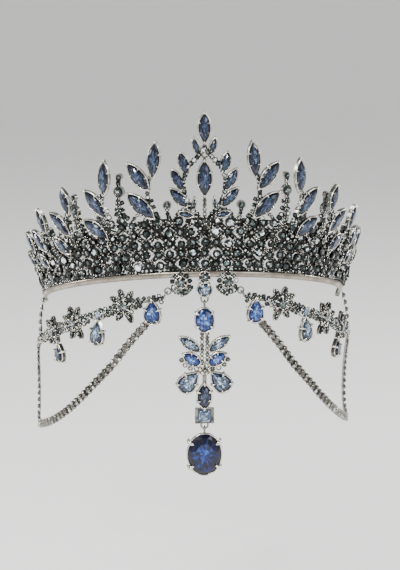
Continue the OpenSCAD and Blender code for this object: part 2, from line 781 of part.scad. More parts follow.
blue_leaf_stone(SPIRES[2], 1);  // spire_3_stone_right
blue_leaf_stone(SPIRES[3], -1);  // spire_4_stone_left
blue_leaf_stone(SPIRES[3], 1);  // spire_4_stone_right
blue_leaf_stone(SPIRES[4], -1);  // spire_5_stone_left
blue_leaf_stone(SPIRES[4], 1);  // spire_5_stone_right
side_leaf_stones(-1);  // side_leaf_stones_left
side_leaf_stones(1);  // side_leaf_stones_right
cluster_stone(CLUSTER_TOP, 1, "round", smoke);  // cluster_top_stone
cluster_stone(CLUSTER_OVAL, 1, "oval", pale);  // cluster_oval_stone
cluster_stone(CLUSTER_SIDE, -1, "round", smoke);  // cluster_stone_left
cluster_stone(CLUSTER_SIDE, 1, "round", smoke);  // cluster_stone_right
garland_frame(-1);  // garland_frame_left
garland_frame(1);  // garland_frame_right
garland_stone(0, -1, pale);  // garland_pear_1_left
garland_stone(0, 1, pale);  // garland_pear_1_right
garland_stone(1, -1, smoke);  // garland_flower_1_left
garland_stone(1, 1, smoke);  // garland_flower_1_right
garland_stone(2, -1, pale);  // garland_round_left
garland_stone(2, 1, pale);  // garland_round_right
garland_stone(3, -1, pale);  // garland_pear_2_left
garland_stone(3, 1, pale);  // garland_pear_2_right
garland_stone(4, -1, smoke);  // garland_flower_2_left
garland_stone(4, 1, smoke);  // garland_flower_2_right
garland_stone(5, -1, smoke);  // garland_oval_left
garland_stone(5, 1, smoke);  // garland_oval_right
garland_stone(6, -1, steel_blue);  // garland_pear_3_left
garland_stone(6, 1, steel_blue);  // garland_pear_3_right
end_strand(-1);  // end_strand_left
end_strand(1);  // end_strand_right
side_chain(-1);  // side_chain_left
side_chain(1);  // side_chain_right
pendant_frame();
color(steel_blue) pendant_stone(PENDANT_OVAL);  // pendant_oval_stone
color(steel_blue) pendant_stone(PENDANT_TAIL);  // pendant_tail_stone
wing_stones(-1);  // wing_stones_left
wing_stones(1);  // wing_stones_right
baguette_stone();
drop_setting();
color(royal_blue) pendant_stone(DROP);  // drop_stone
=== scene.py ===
"""Looks of a spired bridal crown: antiqued silver settings, foil-backed stones, a jewelled
garland, a swinging pendant with a drop, and double-row cup chains down the sides.

Lengths are millimetres until a mesh is made, which turns them into metres. The shapes
stand in the model's own frame: +Z up, the crown's front towards -Y.
"""
import json

import bpy
import numpy as np
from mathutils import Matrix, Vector


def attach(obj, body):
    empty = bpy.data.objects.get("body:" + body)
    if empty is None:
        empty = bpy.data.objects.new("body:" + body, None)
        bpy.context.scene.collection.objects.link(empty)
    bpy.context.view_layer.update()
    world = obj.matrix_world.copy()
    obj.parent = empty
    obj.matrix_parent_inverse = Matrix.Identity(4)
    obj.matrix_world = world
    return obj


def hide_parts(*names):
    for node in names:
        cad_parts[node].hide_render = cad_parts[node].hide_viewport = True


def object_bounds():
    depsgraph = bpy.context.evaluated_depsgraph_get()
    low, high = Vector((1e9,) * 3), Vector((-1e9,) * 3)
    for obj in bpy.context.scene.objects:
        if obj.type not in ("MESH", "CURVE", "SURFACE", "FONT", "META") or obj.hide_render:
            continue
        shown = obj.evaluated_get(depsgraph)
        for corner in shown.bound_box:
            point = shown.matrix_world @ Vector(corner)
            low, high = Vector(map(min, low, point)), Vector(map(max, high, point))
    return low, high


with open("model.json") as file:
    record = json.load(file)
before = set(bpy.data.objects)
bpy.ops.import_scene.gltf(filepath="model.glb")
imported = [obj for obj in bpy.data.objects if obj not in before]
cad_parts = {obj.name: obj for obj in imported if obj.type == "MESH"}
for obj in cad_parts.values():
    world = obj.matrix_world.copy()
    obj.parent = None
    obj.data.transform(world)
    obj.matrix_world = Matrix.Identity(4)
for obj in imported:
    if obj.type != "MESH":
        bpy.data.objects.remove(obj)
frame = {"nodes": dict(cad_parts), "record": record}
cad_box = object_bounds()
MM = 0.001
TURN = 2 * np.pi

# Sizes of the crown, as the model has them
HEAD_R = 75.0
BAND_TILT = 19.0
WALL_FLARE = 18.0
BAND_H = 3.0
BAND_T = 1.3
BAND_HALF_ARC = 90.0
GALLERY_H = 28.5
GALLERY_T = 1.0
WIRE_W = 1.3
EMBED = 0.3
CUP_H = 1.9
RIM = 0.5
STONE_GAP = 0.12
BEZEL_R = 0.34
HEAD_A = 79.0
HEAD_B = 72.0
PENDANT_Y = 72.3

# The gallery's pattern: gaps in columns round the wall and rows up it
GALLERY_COLUMNS = 10
GALLERY_ROWS = 5
COLUMN_STEP = 7.8
FIRST_ROW = 6.6
ROW_STEP = 5.1
FALL_ANGLE = 8.5
CLEAR_ENDS = 7.0

# Radii of the gallery's small stones, and the pitch of the row above the band
CROSSING_STONE_R = 1.25
STRIP_STONE_R = 0.92
GAP_STONE_R = 2.45
CORNER_STONE_R = 0.74
BAND_STONE_R = 0.95
BAND_STONE_PITCH = 2.05

# Stems on the wall, right half: rows of angle and height
STEMS = [
    [(14.0, 23), (16.6, 31), (17.4, 40), (16.6, 47), (15.1, 52)],
    [(29.5, 22), (32.6, 30), (33.0, 38), (31.5, 45)],
    [(45.5, 20), (49.4, 27), (48.4, 33), (46.4, 38)],
    [(60.0, 17), (64.0, 23), (62.8, 28), (60.7, 33)],
    [(74.0, 13), (77.6, 17), (75.6, 21.5), (73.9, 25)],
    [(24.0, 23), (27.2, 31), (27.0, 39), (25.7, 50)],
    [(40.6, 20), (43.9, 28), (43.6, 37), (42.9, 42)],
    [(56.4, 17), (58.6, 23), (58.6, 29)],
    [(70.6, 12), (72.8, 17)],
    [(9.6, 25), (11.5, 30), (11.6, 34)],
    [(0.8, 26), (3.4, 31), (5.9, 39), (6.4, 46), (4.8, 53), (1.8, 58), (0, 61.5)],
]

# The garland's wire and flowers on the head, right half
VINE = [
    (14.3, 14.6), (18.0, 12.8), (23.0, 11.6), (28.0, 9.2), (33.5, 6.6), (38.4, 3.6),
    (44.0, 0.6), (50.0, -2.6), (56.5, -6.6), (63.5, -11.0), (71.0, -15.0), (78.0, -17.6),
]
FLOWERS = [
    (28.0, 9.2, (-70, -25, 20, 62, 150, 205)),
    (50.0, -2.6, (-60, -15, 30, 75, 165, 215)),
    (63.5, -11.0, (-40, 5, 50, 95)),
]
VINE_MM = 1.3
LEAF_L = 6.2
LEAF_W = 3.2
LEAF_FOOT = 2.6
FLOWER_RING_R = 4.55

# Side chains and end strands on the head, right half: angle, height, distance out
SIDE_CHAIN = [
    (20.1, 1.5, 0), (27.0, -9.5, 0), (34.0, -21.5, 0), (42.0, -32.5, 0), (50.0, -42.5, 0),
    (58.0, -50.5, 0), (67.0, -57.0, 0), (77.0, -62.0, 0), (86.5, -65.0, 0.4),
    (92.5, -62.5, 0.6), (94.0, -54.0, 0.4), (93.0, -42.0, 0.2), (90.0, -31.0, 0.2),
    (85.0, -22.6, 0.2), (81.0, -19.3, 0),
]
END_STRAND = [(84.6, 2.1, -2.6), (83.4, -4.0, -1.2), (81.8, -9.6, -0.2), (80.0, -15.4, 0)]
LINK_PITCH = 3.6
LINK_CUP_D = 2.2
LINK_CUP_GAP = 0.1

SIDES = (("left", -1), ("right", 1))
rng = np.random.default_rng(7)


# Turns and places

def turn(axis, degrees):
    """Matrices of a turn about one axis (0, 1 or 2), one for each angle."""
    a = np.atleast_1d(np.radians(degrees))
    m = np.zeros(a.shape + (3, 3))
    i, j = (axis + 1) % 3, (axis + 2) % 3
    m[..., axis, axis] = 1
    m[..., i, i] = m[..., j, j] = np.cos(a)
    m[..., j, i] = np.sin(a)
    m[..., i, j] = -np.sin(a)
    return m


def stacked(*columns):
    """Numbers and arrays side by side along a new last axis."""
    return np.stack(np.broadcast_arrays(*[np.atleast_1d(c) for c in columns]), -1)


def on_wall(theta, s, lean=0, out=0):
    """Places on the tilted cone of the wall: theta degrees round from the front, s up the
    wall, out from its inner face. Axes: x sideways, y up the wall, z outwards."""
    round_turn = turn(0, -BAND_TILT) @ turn(2, theta)
    flare = turn(0, WALL_FLARE)
    foot = stacked(0, -HEAD_R, 0) + (flare @ stacked(0, -out, s)[..., None])[..., 0]
    place = (round_turn @ foot[..., None])[..., 0]
    return place, round_turn @ flare @ turn(1, lean) @ turn(0, 90)


def on_head(phi, z, lean=0, out=0):
    """Places on the upright ellipse that the garland and chains follow round the head, at an
    angle from the front. The axes turn with the ellipse's own tangent."""
    a = np.radians(phi)
    side = turn(2, np.degrees(np.arctan2(HEAD_B * np.sin(a), HEAD_A * np.cos(a))))
    base = stacked(HEAD_A * np.sin(a), -HEAD_B * np.cos(a), z)
    place = base + (side @ stacked(0, -out, 0)[..., None])[..., 0]
    return place, side @ turn(1, lean) @ turn(0, 90)


def on_pendant(x, z, lean=0, out=0):
    """Places on the pendant's upright plane, out from the back of its cups."""
    place = stacked(x, -PENDANT_Y + CUP_H / 2 - out, z)
    return place, turn(1, lean) @ turn(0, 90)


def wall_mm(s):
    """Millimetres of arc for one degree at height s of the wall."""
    return (HEAD_R + s * np.sin(np.radians(WALL_FLARE))) * np.pi / 180


def running(path):
    """Length of a path up to each of its points."""
    return np.concatenate([[0], np.cumsum(np.linalg.norm(np.diff(path, axis=0), axis=1))])


def even_lengths(run, pitch):
    """Lengths at an even pitch along a path, half a step in from both ends."""
    count = max(2, round(run[-1] / pitch))
    return (np.arange(count) + 0.5) * run[-1] / count


def at_length(at, run, rows):
    """Rows of numbers that go with a path's points, read at lengths between them."""
    return stacked(*[np.interp(at, run, column) for column in rows.T])


def even_points(path, pitch):
    """Points at an even pitch along an open path of points."""
    run = running(path)
    return at_length(even_lengths(run, pitch), run, path)


def path_normals(path):
    """Unit normals at the points of a flat path, to its left."""
    along = np.gradient(path, axis=0)
    along /= np.linalg.norm(along, axis=1, keepdims=True)
    return stacked(-along[:, 1], along[:, 0])


def smooth_path(row, steps=24):
    """A Catmull-Rom curve through the places of a row, as a dense path."""
    row = np.asarray(row, float)
    last = len(row) - 1
    t = np.linspace(0, last, last * steps + 1)
    i = np.minimum(t.astype(int), last - 1)
    u = (t - i)[:, None]
    a, b = row[np.maximum(i - 1, 0)], row[i]
    c, d = row[i + 1], row[np.minimum(i + 2, last)]
    square = 2 * a - 5 * b + 4 * c - d
    cube = 3 * b - a - 3 * c + d
    return (2 * b + (c - a) * u + square * u**2 + cube * u**3) / 2


# Small shapes: corners, triangles, and each triangle's painted glint, how bright its facet's
# reflection is painted, 0 to 1

def weld(corners, triangles, tones=None):
    """The shape with equal corners merged and triangles without area dropped."""
    key = np.round(corners * 1e5).astype(np.int64)
    _, first, index = np.unique(key, axis=0, return_index=True, return_inverse=True)
    tri = index.ravel()[triangles]
    whole = (tri[:, 0] != tri[:, 1]) & (tri[:, 1] != tri[:, 2]) & (tri[:, 0] != tri[:, 2])
    tones = np.zeros(len(tri)) if tones is None else tones
    return corners[first], tri[whole], tones[whole]


def grid_triangles(rows, columns, zigzag=None):
    """Triangles of a grid whose columns close on themselves. Where zigzag is true for a row,
    the next row stands half a column on, and the other diagonal is taken."""
    i, j = np.meshgrid(np.arange(rows - 1), np.arange(columns), indexing="ij")
    zig = np.zeros(rows - 1, bool) if zigzag is None else np.asarray(zigzag, bool)
    a = i * columns + j
    b = i * columns + (j + 1) % columns
    c = a + columns
    d = b + columns
    lower = np.where(zig[i][..., None], stacked(a, b, c), stacked(a, b, d))
    upper = np.where(zig[i][..., None], stacked(b, d, c), stacked(a, d, c))
    return np.concatenate([lower.reshape(-1, 3), upper.reshape(-1, 3)])


def spun(profile, sides):
    """A profile of radius and height carried round the z axis. Radius 0 closes a pole."""
    radius, height = np.asarray(profile, float).T[..., None]
    a = np.arange(sides) * TURN / sides
    corners = stacked(radius * np.cos(a), radius * np.sin(a), height)
    return weld(corners.reshape(-1, 3), grid_triangles(len(profile), sides))


def bead_shape(sides=7, rows=5):
    """A ball of radius 1: a half circle carried round."""
    a = np.linspace(-np.pi / 2, np.pi / 2, rows)
    return spun(stacked(np.cos(a), np.sin(a)).round(9), sides)


def tube(path, radii, sides=6):
    """A round wire: a circle of changing radius carried along a path in the xz plane, with
    one circle more, of radius 0, at each end to close it."""
    path = np.asarray(path, float)
    rings = np.clip(np.arange(-1, len(path) + 1), 0, len(path) - 1)
    x, z = path[rings].T[..., None]
    across, up = path_normals(path)[rings].T[..., None]
    radii = np.pad(radii, 1)[:, None]
    a = np.arange(sides) * TURN / sides
    turned = radii * np.cos(a)
    corners = stacked(x + turned * across, radii * np.sin(a), z + turned * up)
    return outward(weld(corners.reshape(-1, 3), grid_triangles(len(rings), sides)))


def outward(shape):
    """The closed shape with its triangles turned to face out, by the sign of its volume."""
    corners, tri, tones = shape
    p = corners[tri]
    volume = np.einsum("ij,ij->i", p[:, 0], np.cross(p[:, 1], p[:, 2])).sum()
    return corners, (tri if volume > 0 else tri[:, ::-1]), tones


def collet_shape(inner=0.8, height=0.8, sides=10):
    """A small round cup of outer radius 1 that widens upwards, open at its top."""
    profile = [(0, 0), (0.82, 0), (1, height), (inner, height), (inner * 0.9, 0.3), (0, 0.3)]
    return spun(profile, sides)


def small_stone_shape(sides=8):
    """A small round stone of radius 1: a shallow back, eight crown facets and a table with a
    painted highlight, brighter than the facets round it."""
    table, top = 0.58, 0.42
    corners, tri, _ = spun([(0, -0.35), (1, 0), (table, top), (0, top)], sides)
    off_middle = np.hypot(corners[tri, 0], corners[tri, 1]).mean(1)
    # Painted highlight tone on the table's facets, a darker one on the crown's
    return corners, tri, np.where(off_middle < 0.45, 0.55, 0.28)


def claw_shape(reach=0.75, high=0.95, thick=0.36):
    """A claw: a wire that rises beside a stone's edge and bends in over it. Its x axis
    points away from the stone, from the stone's edge."""
    path = [(0.78, -1.3), (0.76, -0.3), (0.68, 0.35 * high), (0.40, 0.85 * high),
            (-0.05, high), (-reach, 0.98 * high)]
    return tube(path, thick * np.array([1, 1, 1, 0.95, 0.8, 0.5]))


def scatter(shape, places, axes, size=1.0, spread=0.0):
    """Copies of a shape at many places, each with its own axes and size: one number for
    all, one for each place, or rows of three, one for each axis. Each facet's painted glint
    tone is changed by up to spread, and each whole copy's by a share of it, so that a few
    copies carry painted sparkle among many dark ones: the share is a cubed random number."""
    corners, tri, tones = shape
    places = np.asarray(places, float).reshape(-1, 3)
    axes = np.broadcast_to(axes, (len(places), 3, 3))
    size = np.asarray(size, float)
    size = np.broadcast_to(size[:, None] if size.ndim == 1 else size, (len(places), 3))
    copies = places[:, None] + np.einsum("pij,pkj->pki", axes, corners * size[:, None])
    offset = np.arange(len(places))[:, None, None] * len(corners)
    tones = tones + rng.uniform(-spread, spread, (len(places), len(tri)))
    # Painted sparkle: a few whole copies brighter than the rest
    tones = tones + spread * (2.4 * rng.uniform(0, 1, (len(places), 1)) ** 3 - 0.7)
    return copies.reshape(-1, 3), (tri + offset).reshape(-1, 3), tones.ravel()


# Outlines of the cuts: points at a share t of the way round, seen from the front

# The greatest value of sin(a) sin(a/2), which is a pear's half width
PEAR_SWELL = 0.77


def outline(kind, length, width, t):
    """Lens: two equal arcs. Pear: the width swells as sin(a) sin(a/2). Others: an ellipse."""
    a = t * TURN
    if kind == "marquise":
        r = (length**2 + width**2) / (4 * width)
        middle = r - width / 2
        reach = np.arccos(middle / r)
        share = (t % 1) * 2
        right = share < 1
        swing = reach * np.where(right, 2 * share - 1, 3 - 2 * share)
        x = np.where(right, 1, -1) * (r * np.cos(swing) - middle)
        return stacked(x, r * np.sin(swing))
    if kind == "pear":
        x = -width / 2 / PEAR_SWELL * np.sin(a) * np.abs(np.sin(a / 2))
        return stacked(x, length / 2 * np.cos(a))
    return stacked(width / 2 * np.cos(a), length / 2 * np.sin(a))


def edge_places(kind, length, width, t, out=0.0):
    """Points on an outline moved out by a distance, with the outline's outward normals."""
    step = 1e-3
    p = outline(kind, length, width, t)
    along = outline(kind, length, width, t + step) - outline(kind, length, width, t - step)
    normal = stacked(along[:, 1], -along[:, 0])
    normal /= np.linalg.norm(normal, axis=1, keepdims=True) + 1e-12
    return p + out * normal, normal


def even_shares(kind, length, width, pitch):
    """Shares of the way round an outline that lie an even pitch apart along it."""
    t = np.linspace(0, 1, 241)
    run = running(outline(kind, length, width, t))
    count = max(6, round(run[-1] / pitch))
    return np.interp(np.arange(count) * run[-1] / count, run, t)


def cut_stone(stone, sides=16):
    """A cut stone: rings of one outline at shrinking size, each turned half a facet from
    the last, from the pointed back over the girdle to the table."""
    kind, l, w = stone["kind"], stone["length"], stone["width"]
    back, girdle, top = stone["heights"]
    bevel = girdle + 0.55 * (top - girdle)
    # Size, height and turn of each ring, in shares of the outline and of a facet
    rings = [(0.0, back, 0), (0.6, 0.4 * back, 0.5), (1.0, 0.0, 0), (1.0, girdle, 0),
             (0.84, bevel, 0.5), (0.56, top, 0), (0.3, top, 0.5), (0.0, top, 0)]
    t = np.arange(sides) / sides
    layers = [
        np.concatenate([k * outline(kind, l, w, t + phase / sides), np.full((sides, 1), z)], 1)
        for k, z, phase in rings
    ]
    zigzag = [rings[i][2] < rings[i + 1][2] for i in range(len(rings) - 1)]
    # Middle painted reflection tone of the facets between two rings, dark at the back and brightest
    # at the table, and how far they differ from it
    base = np.array([0.05, 0.05, 0.02, 0.10, 0.30, 0.46, 0.60])[:, None]
    spread = np.array([0.05, 0.05, 0.02, 0.12, 0.34, 0.36, 0.26])[:, None]
    tones = base + spread * rng.uniform(-1, 1, (2, len(base), sides))
    triangles = grid_triangles(len(rings), sides, zigzag)
    corners, tri, tones = weld(np.concatenate(layers), triangles, tones.ravel())
    return outward((stone["place"] + corners @ stone["axes"].T, tri, tones))


# Stones of the model: each loose solid of a stone node gives the stone's own axes

def loose_solids(node):
    """Corners of each separate solid of a node. Equal corners are merged, and each solid
    takes the lowest corner number that reaches it along its triangles."""
    mesh = frame["nodes"][node].data
    co = np.empty(3 * len(mesh.vertices))
    mesh.vertices.foreach_get("co", co)
    mesh.calc_loop_triangles()
    tri = np.empty(3 * len(mesh.loop_triangles), np.int64)
    mesh.loop_triangles.foreach_get("vertices", tri)
    key = np.round(co.reshape(-1, 3) / MM * 1e3).astype(np.int64)
    corners, index = np.unique(key, axis=0, return_inverse=True)
    tri = index.ravel()[tri].reshape(-1, 3)
    label = np.arange(len(corners))
    while True:
        new = label.copy()
        np.minimum.at(new, tri.ravel(), np.repeat(label[tri].min(1), 3))
        new = new[new]
        if (new == label).all():
            break
        label = new
    return [corners[label == k] / 1e3 for k in np.unique(label)]


def half_way(values):
    """Half way between the lowest and the highest of some values."""
    return (values.max() + values.min()) / 2


# Millimetres between two levels of a stone's corners, and within one level
NEXT_LEVEL = 0.03
SAME_LEVEL = 0.02
THICKEST_GIRDLE = 0.2


def read_stone(corners, kind):
    """A stone's axes, sizes and heights from its solid: its height is the way in which its
    corners lie on the fewest levels, and its back is the one corner alone at its depth."""
    middle = corners.mean(0)
    ways = np.linalg.eigh(np.cov((corners - middle).T))[1].T
    levels = [(np.diff(np.sort((corners - middle) @ way)) > NEXT_LEVEL).sum() for way in ways]
    k = int(np.argmin(levels))
    normal, along = ways[k], ways[1 if k == 2 else 2]
    height = (corners - middle) @ normal
    highest = (height > height.max() - SAME_LEVEL).sum()
    lowest = (height < height.min() + SAME_LEVEL).sum()
    if highest < lowest:
        normal, height = -normal, -height
    if kind == "round":
        along = np.array([0, 0, 1.0]) - normal[2] * normal
        along /= np.linalg.norm(along)
    if along[2] < 0:
        along = -along
    across = np.cross(along, normal)
    x, y = (corners - middle) @ across, (corners - middle) @ along
    widest = np.argsort(-np.abs(x - half_way(x)))[:4]
    if kind == "pear" and y[widest].mean() > half_way(y):
        along, across, x, y = -along, -across, -x, -y
    outer = np.hypot((x - half_way(x)) / np.ptp(x), (y - half_way(y)) / np.ptp(y)) > 0.4
    girdle = height[outer]
    low = girdle.min()
    return {
        "kind": kind,
        "place": middle + across * half_way(x) + along * half_way(y) + normal * low,
        "axes": stacked(across, along, normal),
        "length": np.ptp(y), "width": np.ptp(x),
        "heights": (height.min() - low, min(THICKEST_GIRDLE, np.ptp(girdle)), height.max() - low),
    }


# Words in the nodes' names and the cuts that they stand for
CUTS = [
    ("pear", "pear"), ("oval", "oval"), ("drop", "oval"), ("round", "round"),
    ("flower", "round"), ("cluster", "round"), ("gallery", "round"),
]
# Variance across a wing's stone, in square millimetres, that only the pear passes
PEAR_VARIANCE = 4.0


def kind_of(node, corners):
    """The cut of a stone, from its node's name, or for the wings from its width."""
    if node.startswith("wing"):
        variance = np.sort(np.linalg.eigvalsh(np.cov(corners.T)))
        return "pear" if variance[1] > PEAR_VARIANCE else "marquise"
    return next((kind for word, kind in CUTS if word in node), "marquise")


# Pieces

def new_object(name, data):
    """An object of the scene with the given data."""
    made = bpy.data.objects.new(name, data)
    bpy.context.scene.collection.objects.link(made)
    return made


def make_piece(name, parts, materials, body="crown", replaced=()):
    """One mesh from parts, each (shape, material number, smooth or not), on a body."""
    shapes, finish, smooth = zip(*parts)
    corners, triangles, tones = zip(*shapes)
    first = np.cumsum([0] + [len(co) for co in corners])
    faces = [len(tri) for tri in triangles]
    co = np.concatenate(corners) * MM
    tri = np.concatenate([t + k for t, k in zip(triangles, first)]).astype(np.int32)
    mesh = bpy.data.meshes.new(name)
    mesh.vertices.add(len(co))
    mesh.vertices.foreach_set("co", co.astype(np.float32).ravel())
    mesh.loops.add(3 * len(tri))
    mesh.loops.foreach_set("vertex_index", tri.ravel())
    mesh.polygons.add(len(tri))
    mesh.polygons.foreach_set("loop_start", np.arange(0, 3 * len(tri), 3, dtype=np.int32))
    mesh.polygons.foreach_set("material_index", np.repeat(finish, faces).astype(np.int32))
    mesh.polygons.foreach_set("use_smooth", np.repeat(smooth, faces))
    mesh.update(calc_edges=True)
    # Each facet's painted glint tone, which the glass turns into painted reflections
    facet = mesh.attributes.new("facet_tone", "FLOAT", "FACE")
    tones = np.clip(np.concatenate(tones), 0, 1)
    facet.data.foreach_set("value", tones.astype(np.float32))
    for material in materials:
        mesh.materials.append(material)
    piece = new_object(name, mesh)
    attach(piece, body)
    if replaced:
        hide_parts(*replaced)


# Materials

def new_material(name):
    """A material with its shader and a function that adds and links nodes."""
    material = bpy.data.materials.new(name)
    material.use_nodes = True
    tree = material.node_tree
    shader = tree.nodes["Principled BSDF"]

    def add(kind, inputs=(), **choices):
        """A node of a kind, with its inputs set or linked and its choices made."""
        node = tree.nodes.new(kind)
        for key, value in choices.items():
            setattr(node, key, value)
        for socket, value in dict(inputs).items():
            if isinstance(value, bpy.types.NodeSocket):
                tree.links.new(value, node.inputs[socket])
            else:
                node.inputs[socket].default_value = value
        return node

    return material, tree, shader, add


def ramp(add, factor, stops):
    """A colour ramp with the given stops of place and colour."""
    node = add("ShaderNodeValToRGB", {"Fac": factor})
    elements = node.color_ramp.elements
    for k, (place, colour) in enumerate(stops):
        element = elements[k] if k < 2 else elements.new(place)
        element.position = place
        element.color = (*colour, 1)
    return node.outputs["Color"]


def silver(name, dark, light, low, high, grain=420.0, bump=0.25, worn=None):
    """Silver with patches of tarnish: noise picks between a dark and a light tone and the
    roughness, and a finer noise roughens the surface. Where worn is given, the metal turns
    to that tone above and below the gallery, by its height along the wall's axis."""
    material, tree, shader, add = new_material(name)
    place = add("ShaderNodeTexCoord").outputs["Object"]
    noise = add("ShaderNodeTexNoise", {"Vector": place, "Scale": grain, "Detail": 4.0})
    fine = add("ShaderNodeTexNoise", {"Vector": place, "Scale": 5 * grain, "Detail": 2.0})
    patches = noise.outputs["Fac"]
    colour = ramp(add, patches, [(0.36, dark), (0.62, light)])
    if worn:
        tilt = np.radians(BAND_TILT)
        tall = GALLERY_H * MM
        up_axis = (0, np.sin(tilt), np.cos(tilt))
        height = add("ShaderNodeVectorMath", {0: place, 1: up_axis}, operation="DOT_PRODUCT")
        off = add("ShaderNodeMath", {0: height.outputs["Value"], 1: -0.5 * tall}, operation="ADD")
        away = add("ShaderNodeMath", {0: off.outputs["Value"]}, operation="ABSOLUTE")
        share = add("ShaderNodeMapRange", {
            "Value": away.outputs["Value"], "From Min": 0.42 * tall, "From Max": 0.54 * tall})
        bare = ramp(add, patches, [(0.36, worn[0]), (0.62, worn[1])])
        # The colour mix of the node has its inputs at 6 and 7 and its result at 2
        blend = {"Factor": share.outputs["Result"], 6: colour, 7: bare}
        colour = add("ShaderNodeMix", blend, data_type="RGBA").outputs[2]
    rough = add("ShaderNodeMapRange", {
        "Value": patches, "From Min": 0.35, "From Max": 0.65, "To Min": high, "To Max": low})
    raised = add("ShaderNodeBump", {
        "Height": fine.outputs["Fac"], "Strength": bump, "Distance": 0.12 * MM})
    tree.links.new(colour, shader.inputs["Base Color"])
    tree.links.new(rough.outputs["Result"], shader.inputs["Roughness"])
    tree.links.new(raised.outputs["Normal"], shader.inputs["Normal"])
    shader.inputs["Metallic"].default_value = 1.0
    return material


def foil_glass(name, deep, middle, bright, scale=900.0, metal=0.3,
               painted_glint=(0.9, 0.94, 1.0), share=0.22):
    """A foil-backed stone with painted reflections: each facet has its own painted glint tone,
    and smaller cells stand for the back facets seen through it, each with its own painted
    reflection tone and slope, under a clear polished face. The tone of a cell counts by its
    share, and picks a colour from deep to the painted glint colour."""
    material, tree, shader, add = new_material(name)
    place = add("ShaderNodeTexCoord").outputs["Object"]
    cells = add("ShaderNodeTexVoronoi", {"Vector": place, "Scale": scale, "Randomness": 0.9})
    tone = add("ShaderNodeSeparateColor", {"Color": cells.outputs["Color"]})
    # The painted glint tone of each facet
    facet = add("ShaderNodeAttribute", attribute_name="facet_tone")
    mixed = add("ShaderNodeMath", {0: tone.outputs["Red"], 1: share, 2: facet.outputs["Fac"]},
                operation="MULTIPLY_ADD")
    # Colour stops of the painted reflections, from the darkest facet to the painted glint
    stops = [(0.18, deep), (0.60, middle), (0.88, bright), (1.0, painted_glint)]
    colour = ramp(add, mixed.outputs["Value"], stops)
    slope = add("ShaderNodeBump", {
        "Height": tone.outputs["Green"], "Strength": 0.2, "Distance": 0.3 * MM})
    tree.links.new(colour, shader.inputs["Base Color"])
    tree.links.new(slope.outputs["Normal"], shader.inputs["Normal"])
    shader.inputs["Metallic"].default_value = metal
    shader.inputs["Roughness"].default_value = 0.14
    shader.inputs["Specular IOR Level"].default_value = 0.3
    shader.inputs["Coat Weight"].default_value = 0.45
    shader.inputs["Coat Roughness"].default_value = 0.02
    shader.inputs["Coat IOR"].default_value = 1.5
    return material


ANTIQUE = silver("antique_silver", (0.008, 0.008, 0.008), (0.055, 0.054, 0.05), 0.20, 0.40)
FRAME = silver("frame_silver", (0.008, 0.008, 0.008), (0.055, 0.054, 0.05), 0.18, 0.36,
               worn=((0.14, 0.137, 0.126), (0.32, 0.31, 0.28)))
SOFT = silver("soft_silver", (0.08, 0.078, 0.072), (0.27, 0.26, 0.24), 0.16, 0.30)
BRIGHT = silver("worn_silver", (0.12, 0.115, 0.105), (0.46, 0.44, 0.40), 0.10, 0.22, bump=0.1)
LIGHT = silver("light_silver", (0.45, 0.43, 0.38), (0.84, 0.80, 0.71), 0.12, 0.24, bump=0.05)
WARM = silver("warm_silver", (0.22, 0.19, 0.155), (0.36, 0.32, 0.265), 0.24, 0.34, grain=180.0)
# Foil-backed glasses: their deep, middle and bright colours and their glint colour are painted
# reflections over each stone's blue
BLUE = foil_glass("steel_blue_glass", (0.002, 0.004, 0.010), (0.017, 0.028, 0.060),
                  (0.09, 0.13, 0.22), 700.0, painted_glint=(0.32, 0.40, 0.52), share=0.14)
VIVID = foil_glass("sapphire_glass", (0.003, 0.009, 0.05), (0.018, 0.055, 0.24),
                   (0.15, 0.28, 0.64), painted_glint=(0.45, 0.60, 0.90))
PALE = foil_glass("pale_blue_glass", (0.008, 0.014, 0.026), (0.055, 0.095, 0.16),
                  (0.50, 0.62, 0.76))
SMOKE = foil_glass("smoke_glass", (0.002, 0.004, 0.004), (0.012, 0.022, 0.024),
                   (0.20, 0.26, 0.25), 1400.0)
CLEAR = foil_glass("clear_glass", (0.02, 0.021, 0.021), (0.15, 0.148, 0.135),
                   (0.80, 0.78, 0.72), 1800.0, 0.9)
ROYAL = foil_glass("royal_blue_glass", (0.001, 0.001, 0.010), (0.002, 0.007, 0.060),
                   (0.010, 0.05, 0.30), 420.0, 0.15, painted_glint=(0.03, 0.13, 0.50), share=0.12)

# Finishes of small set stones: their collets, the stones and the bright grains, which on set stones
# are a painted glint
DARK_WORK = [ANTIQUE, SMOKE, LIGHT]
BRIGHT_WORK = [SOFT, CLEAR, LIGHT]

SLOT_FINISH = {
    "blue_stone": BLUE, "pale_stone": PALE, "smoke_stone": SMOKE, "deep_blue_stone": ROYAL,
    "dark_silver": ANTIQUE, "cup_chain": BRIGHT,
}
# Finishes of the nodes whose names start so, before those of their slots
OWN_FINISH = {
    "tiara_frame": FRAME, "garland_frame": SOFT, "pendant_frame": SOFT, "drop_setting": SOFT,
    "pendant_oval_stone": VIVID, "wing_stones": VIVID, "garland_pear_1": VIVID,
}
slot_of = {p["node"]: p["material_slot"] for p in frame["record"]["subparts"]}
body_of = {n: b for b, members in frame["record"]["behaviour"]["bodies"].items() for n in members}


def finish_of(node):
    """The finish of a node: its own, or its material slot's."""
    own = (finish for start, finish in OWN_FINISH.items() if node.startswith(start))
    return next(own, SLOT_FINISH[slot_of[node]])


# The model's metal keeps its own shape and takes its finish, and its stones theirs
for name, node in frame["nodes"].items():
    node.data.materials.clear()
    node.data.materials.append(finish_of(name))


# Stones

# Width from which a stone has 16 facets round it and not 8, and from which its cup shows
# claws, and the widths between which a wing's stone is the vivid one
MAIN_STONE = 3.4
VIVID_WING = (4.8, 6.0)

STONE_NODES = sorted(
    n for n in frame["nodes"] if slot_of[n].endswith("_stone") and n != "baguette_stone")
stones = {n: [read_stone(c, kind_of(n, c)) for c in loose_solids(n)] for n in STONE_NODES}

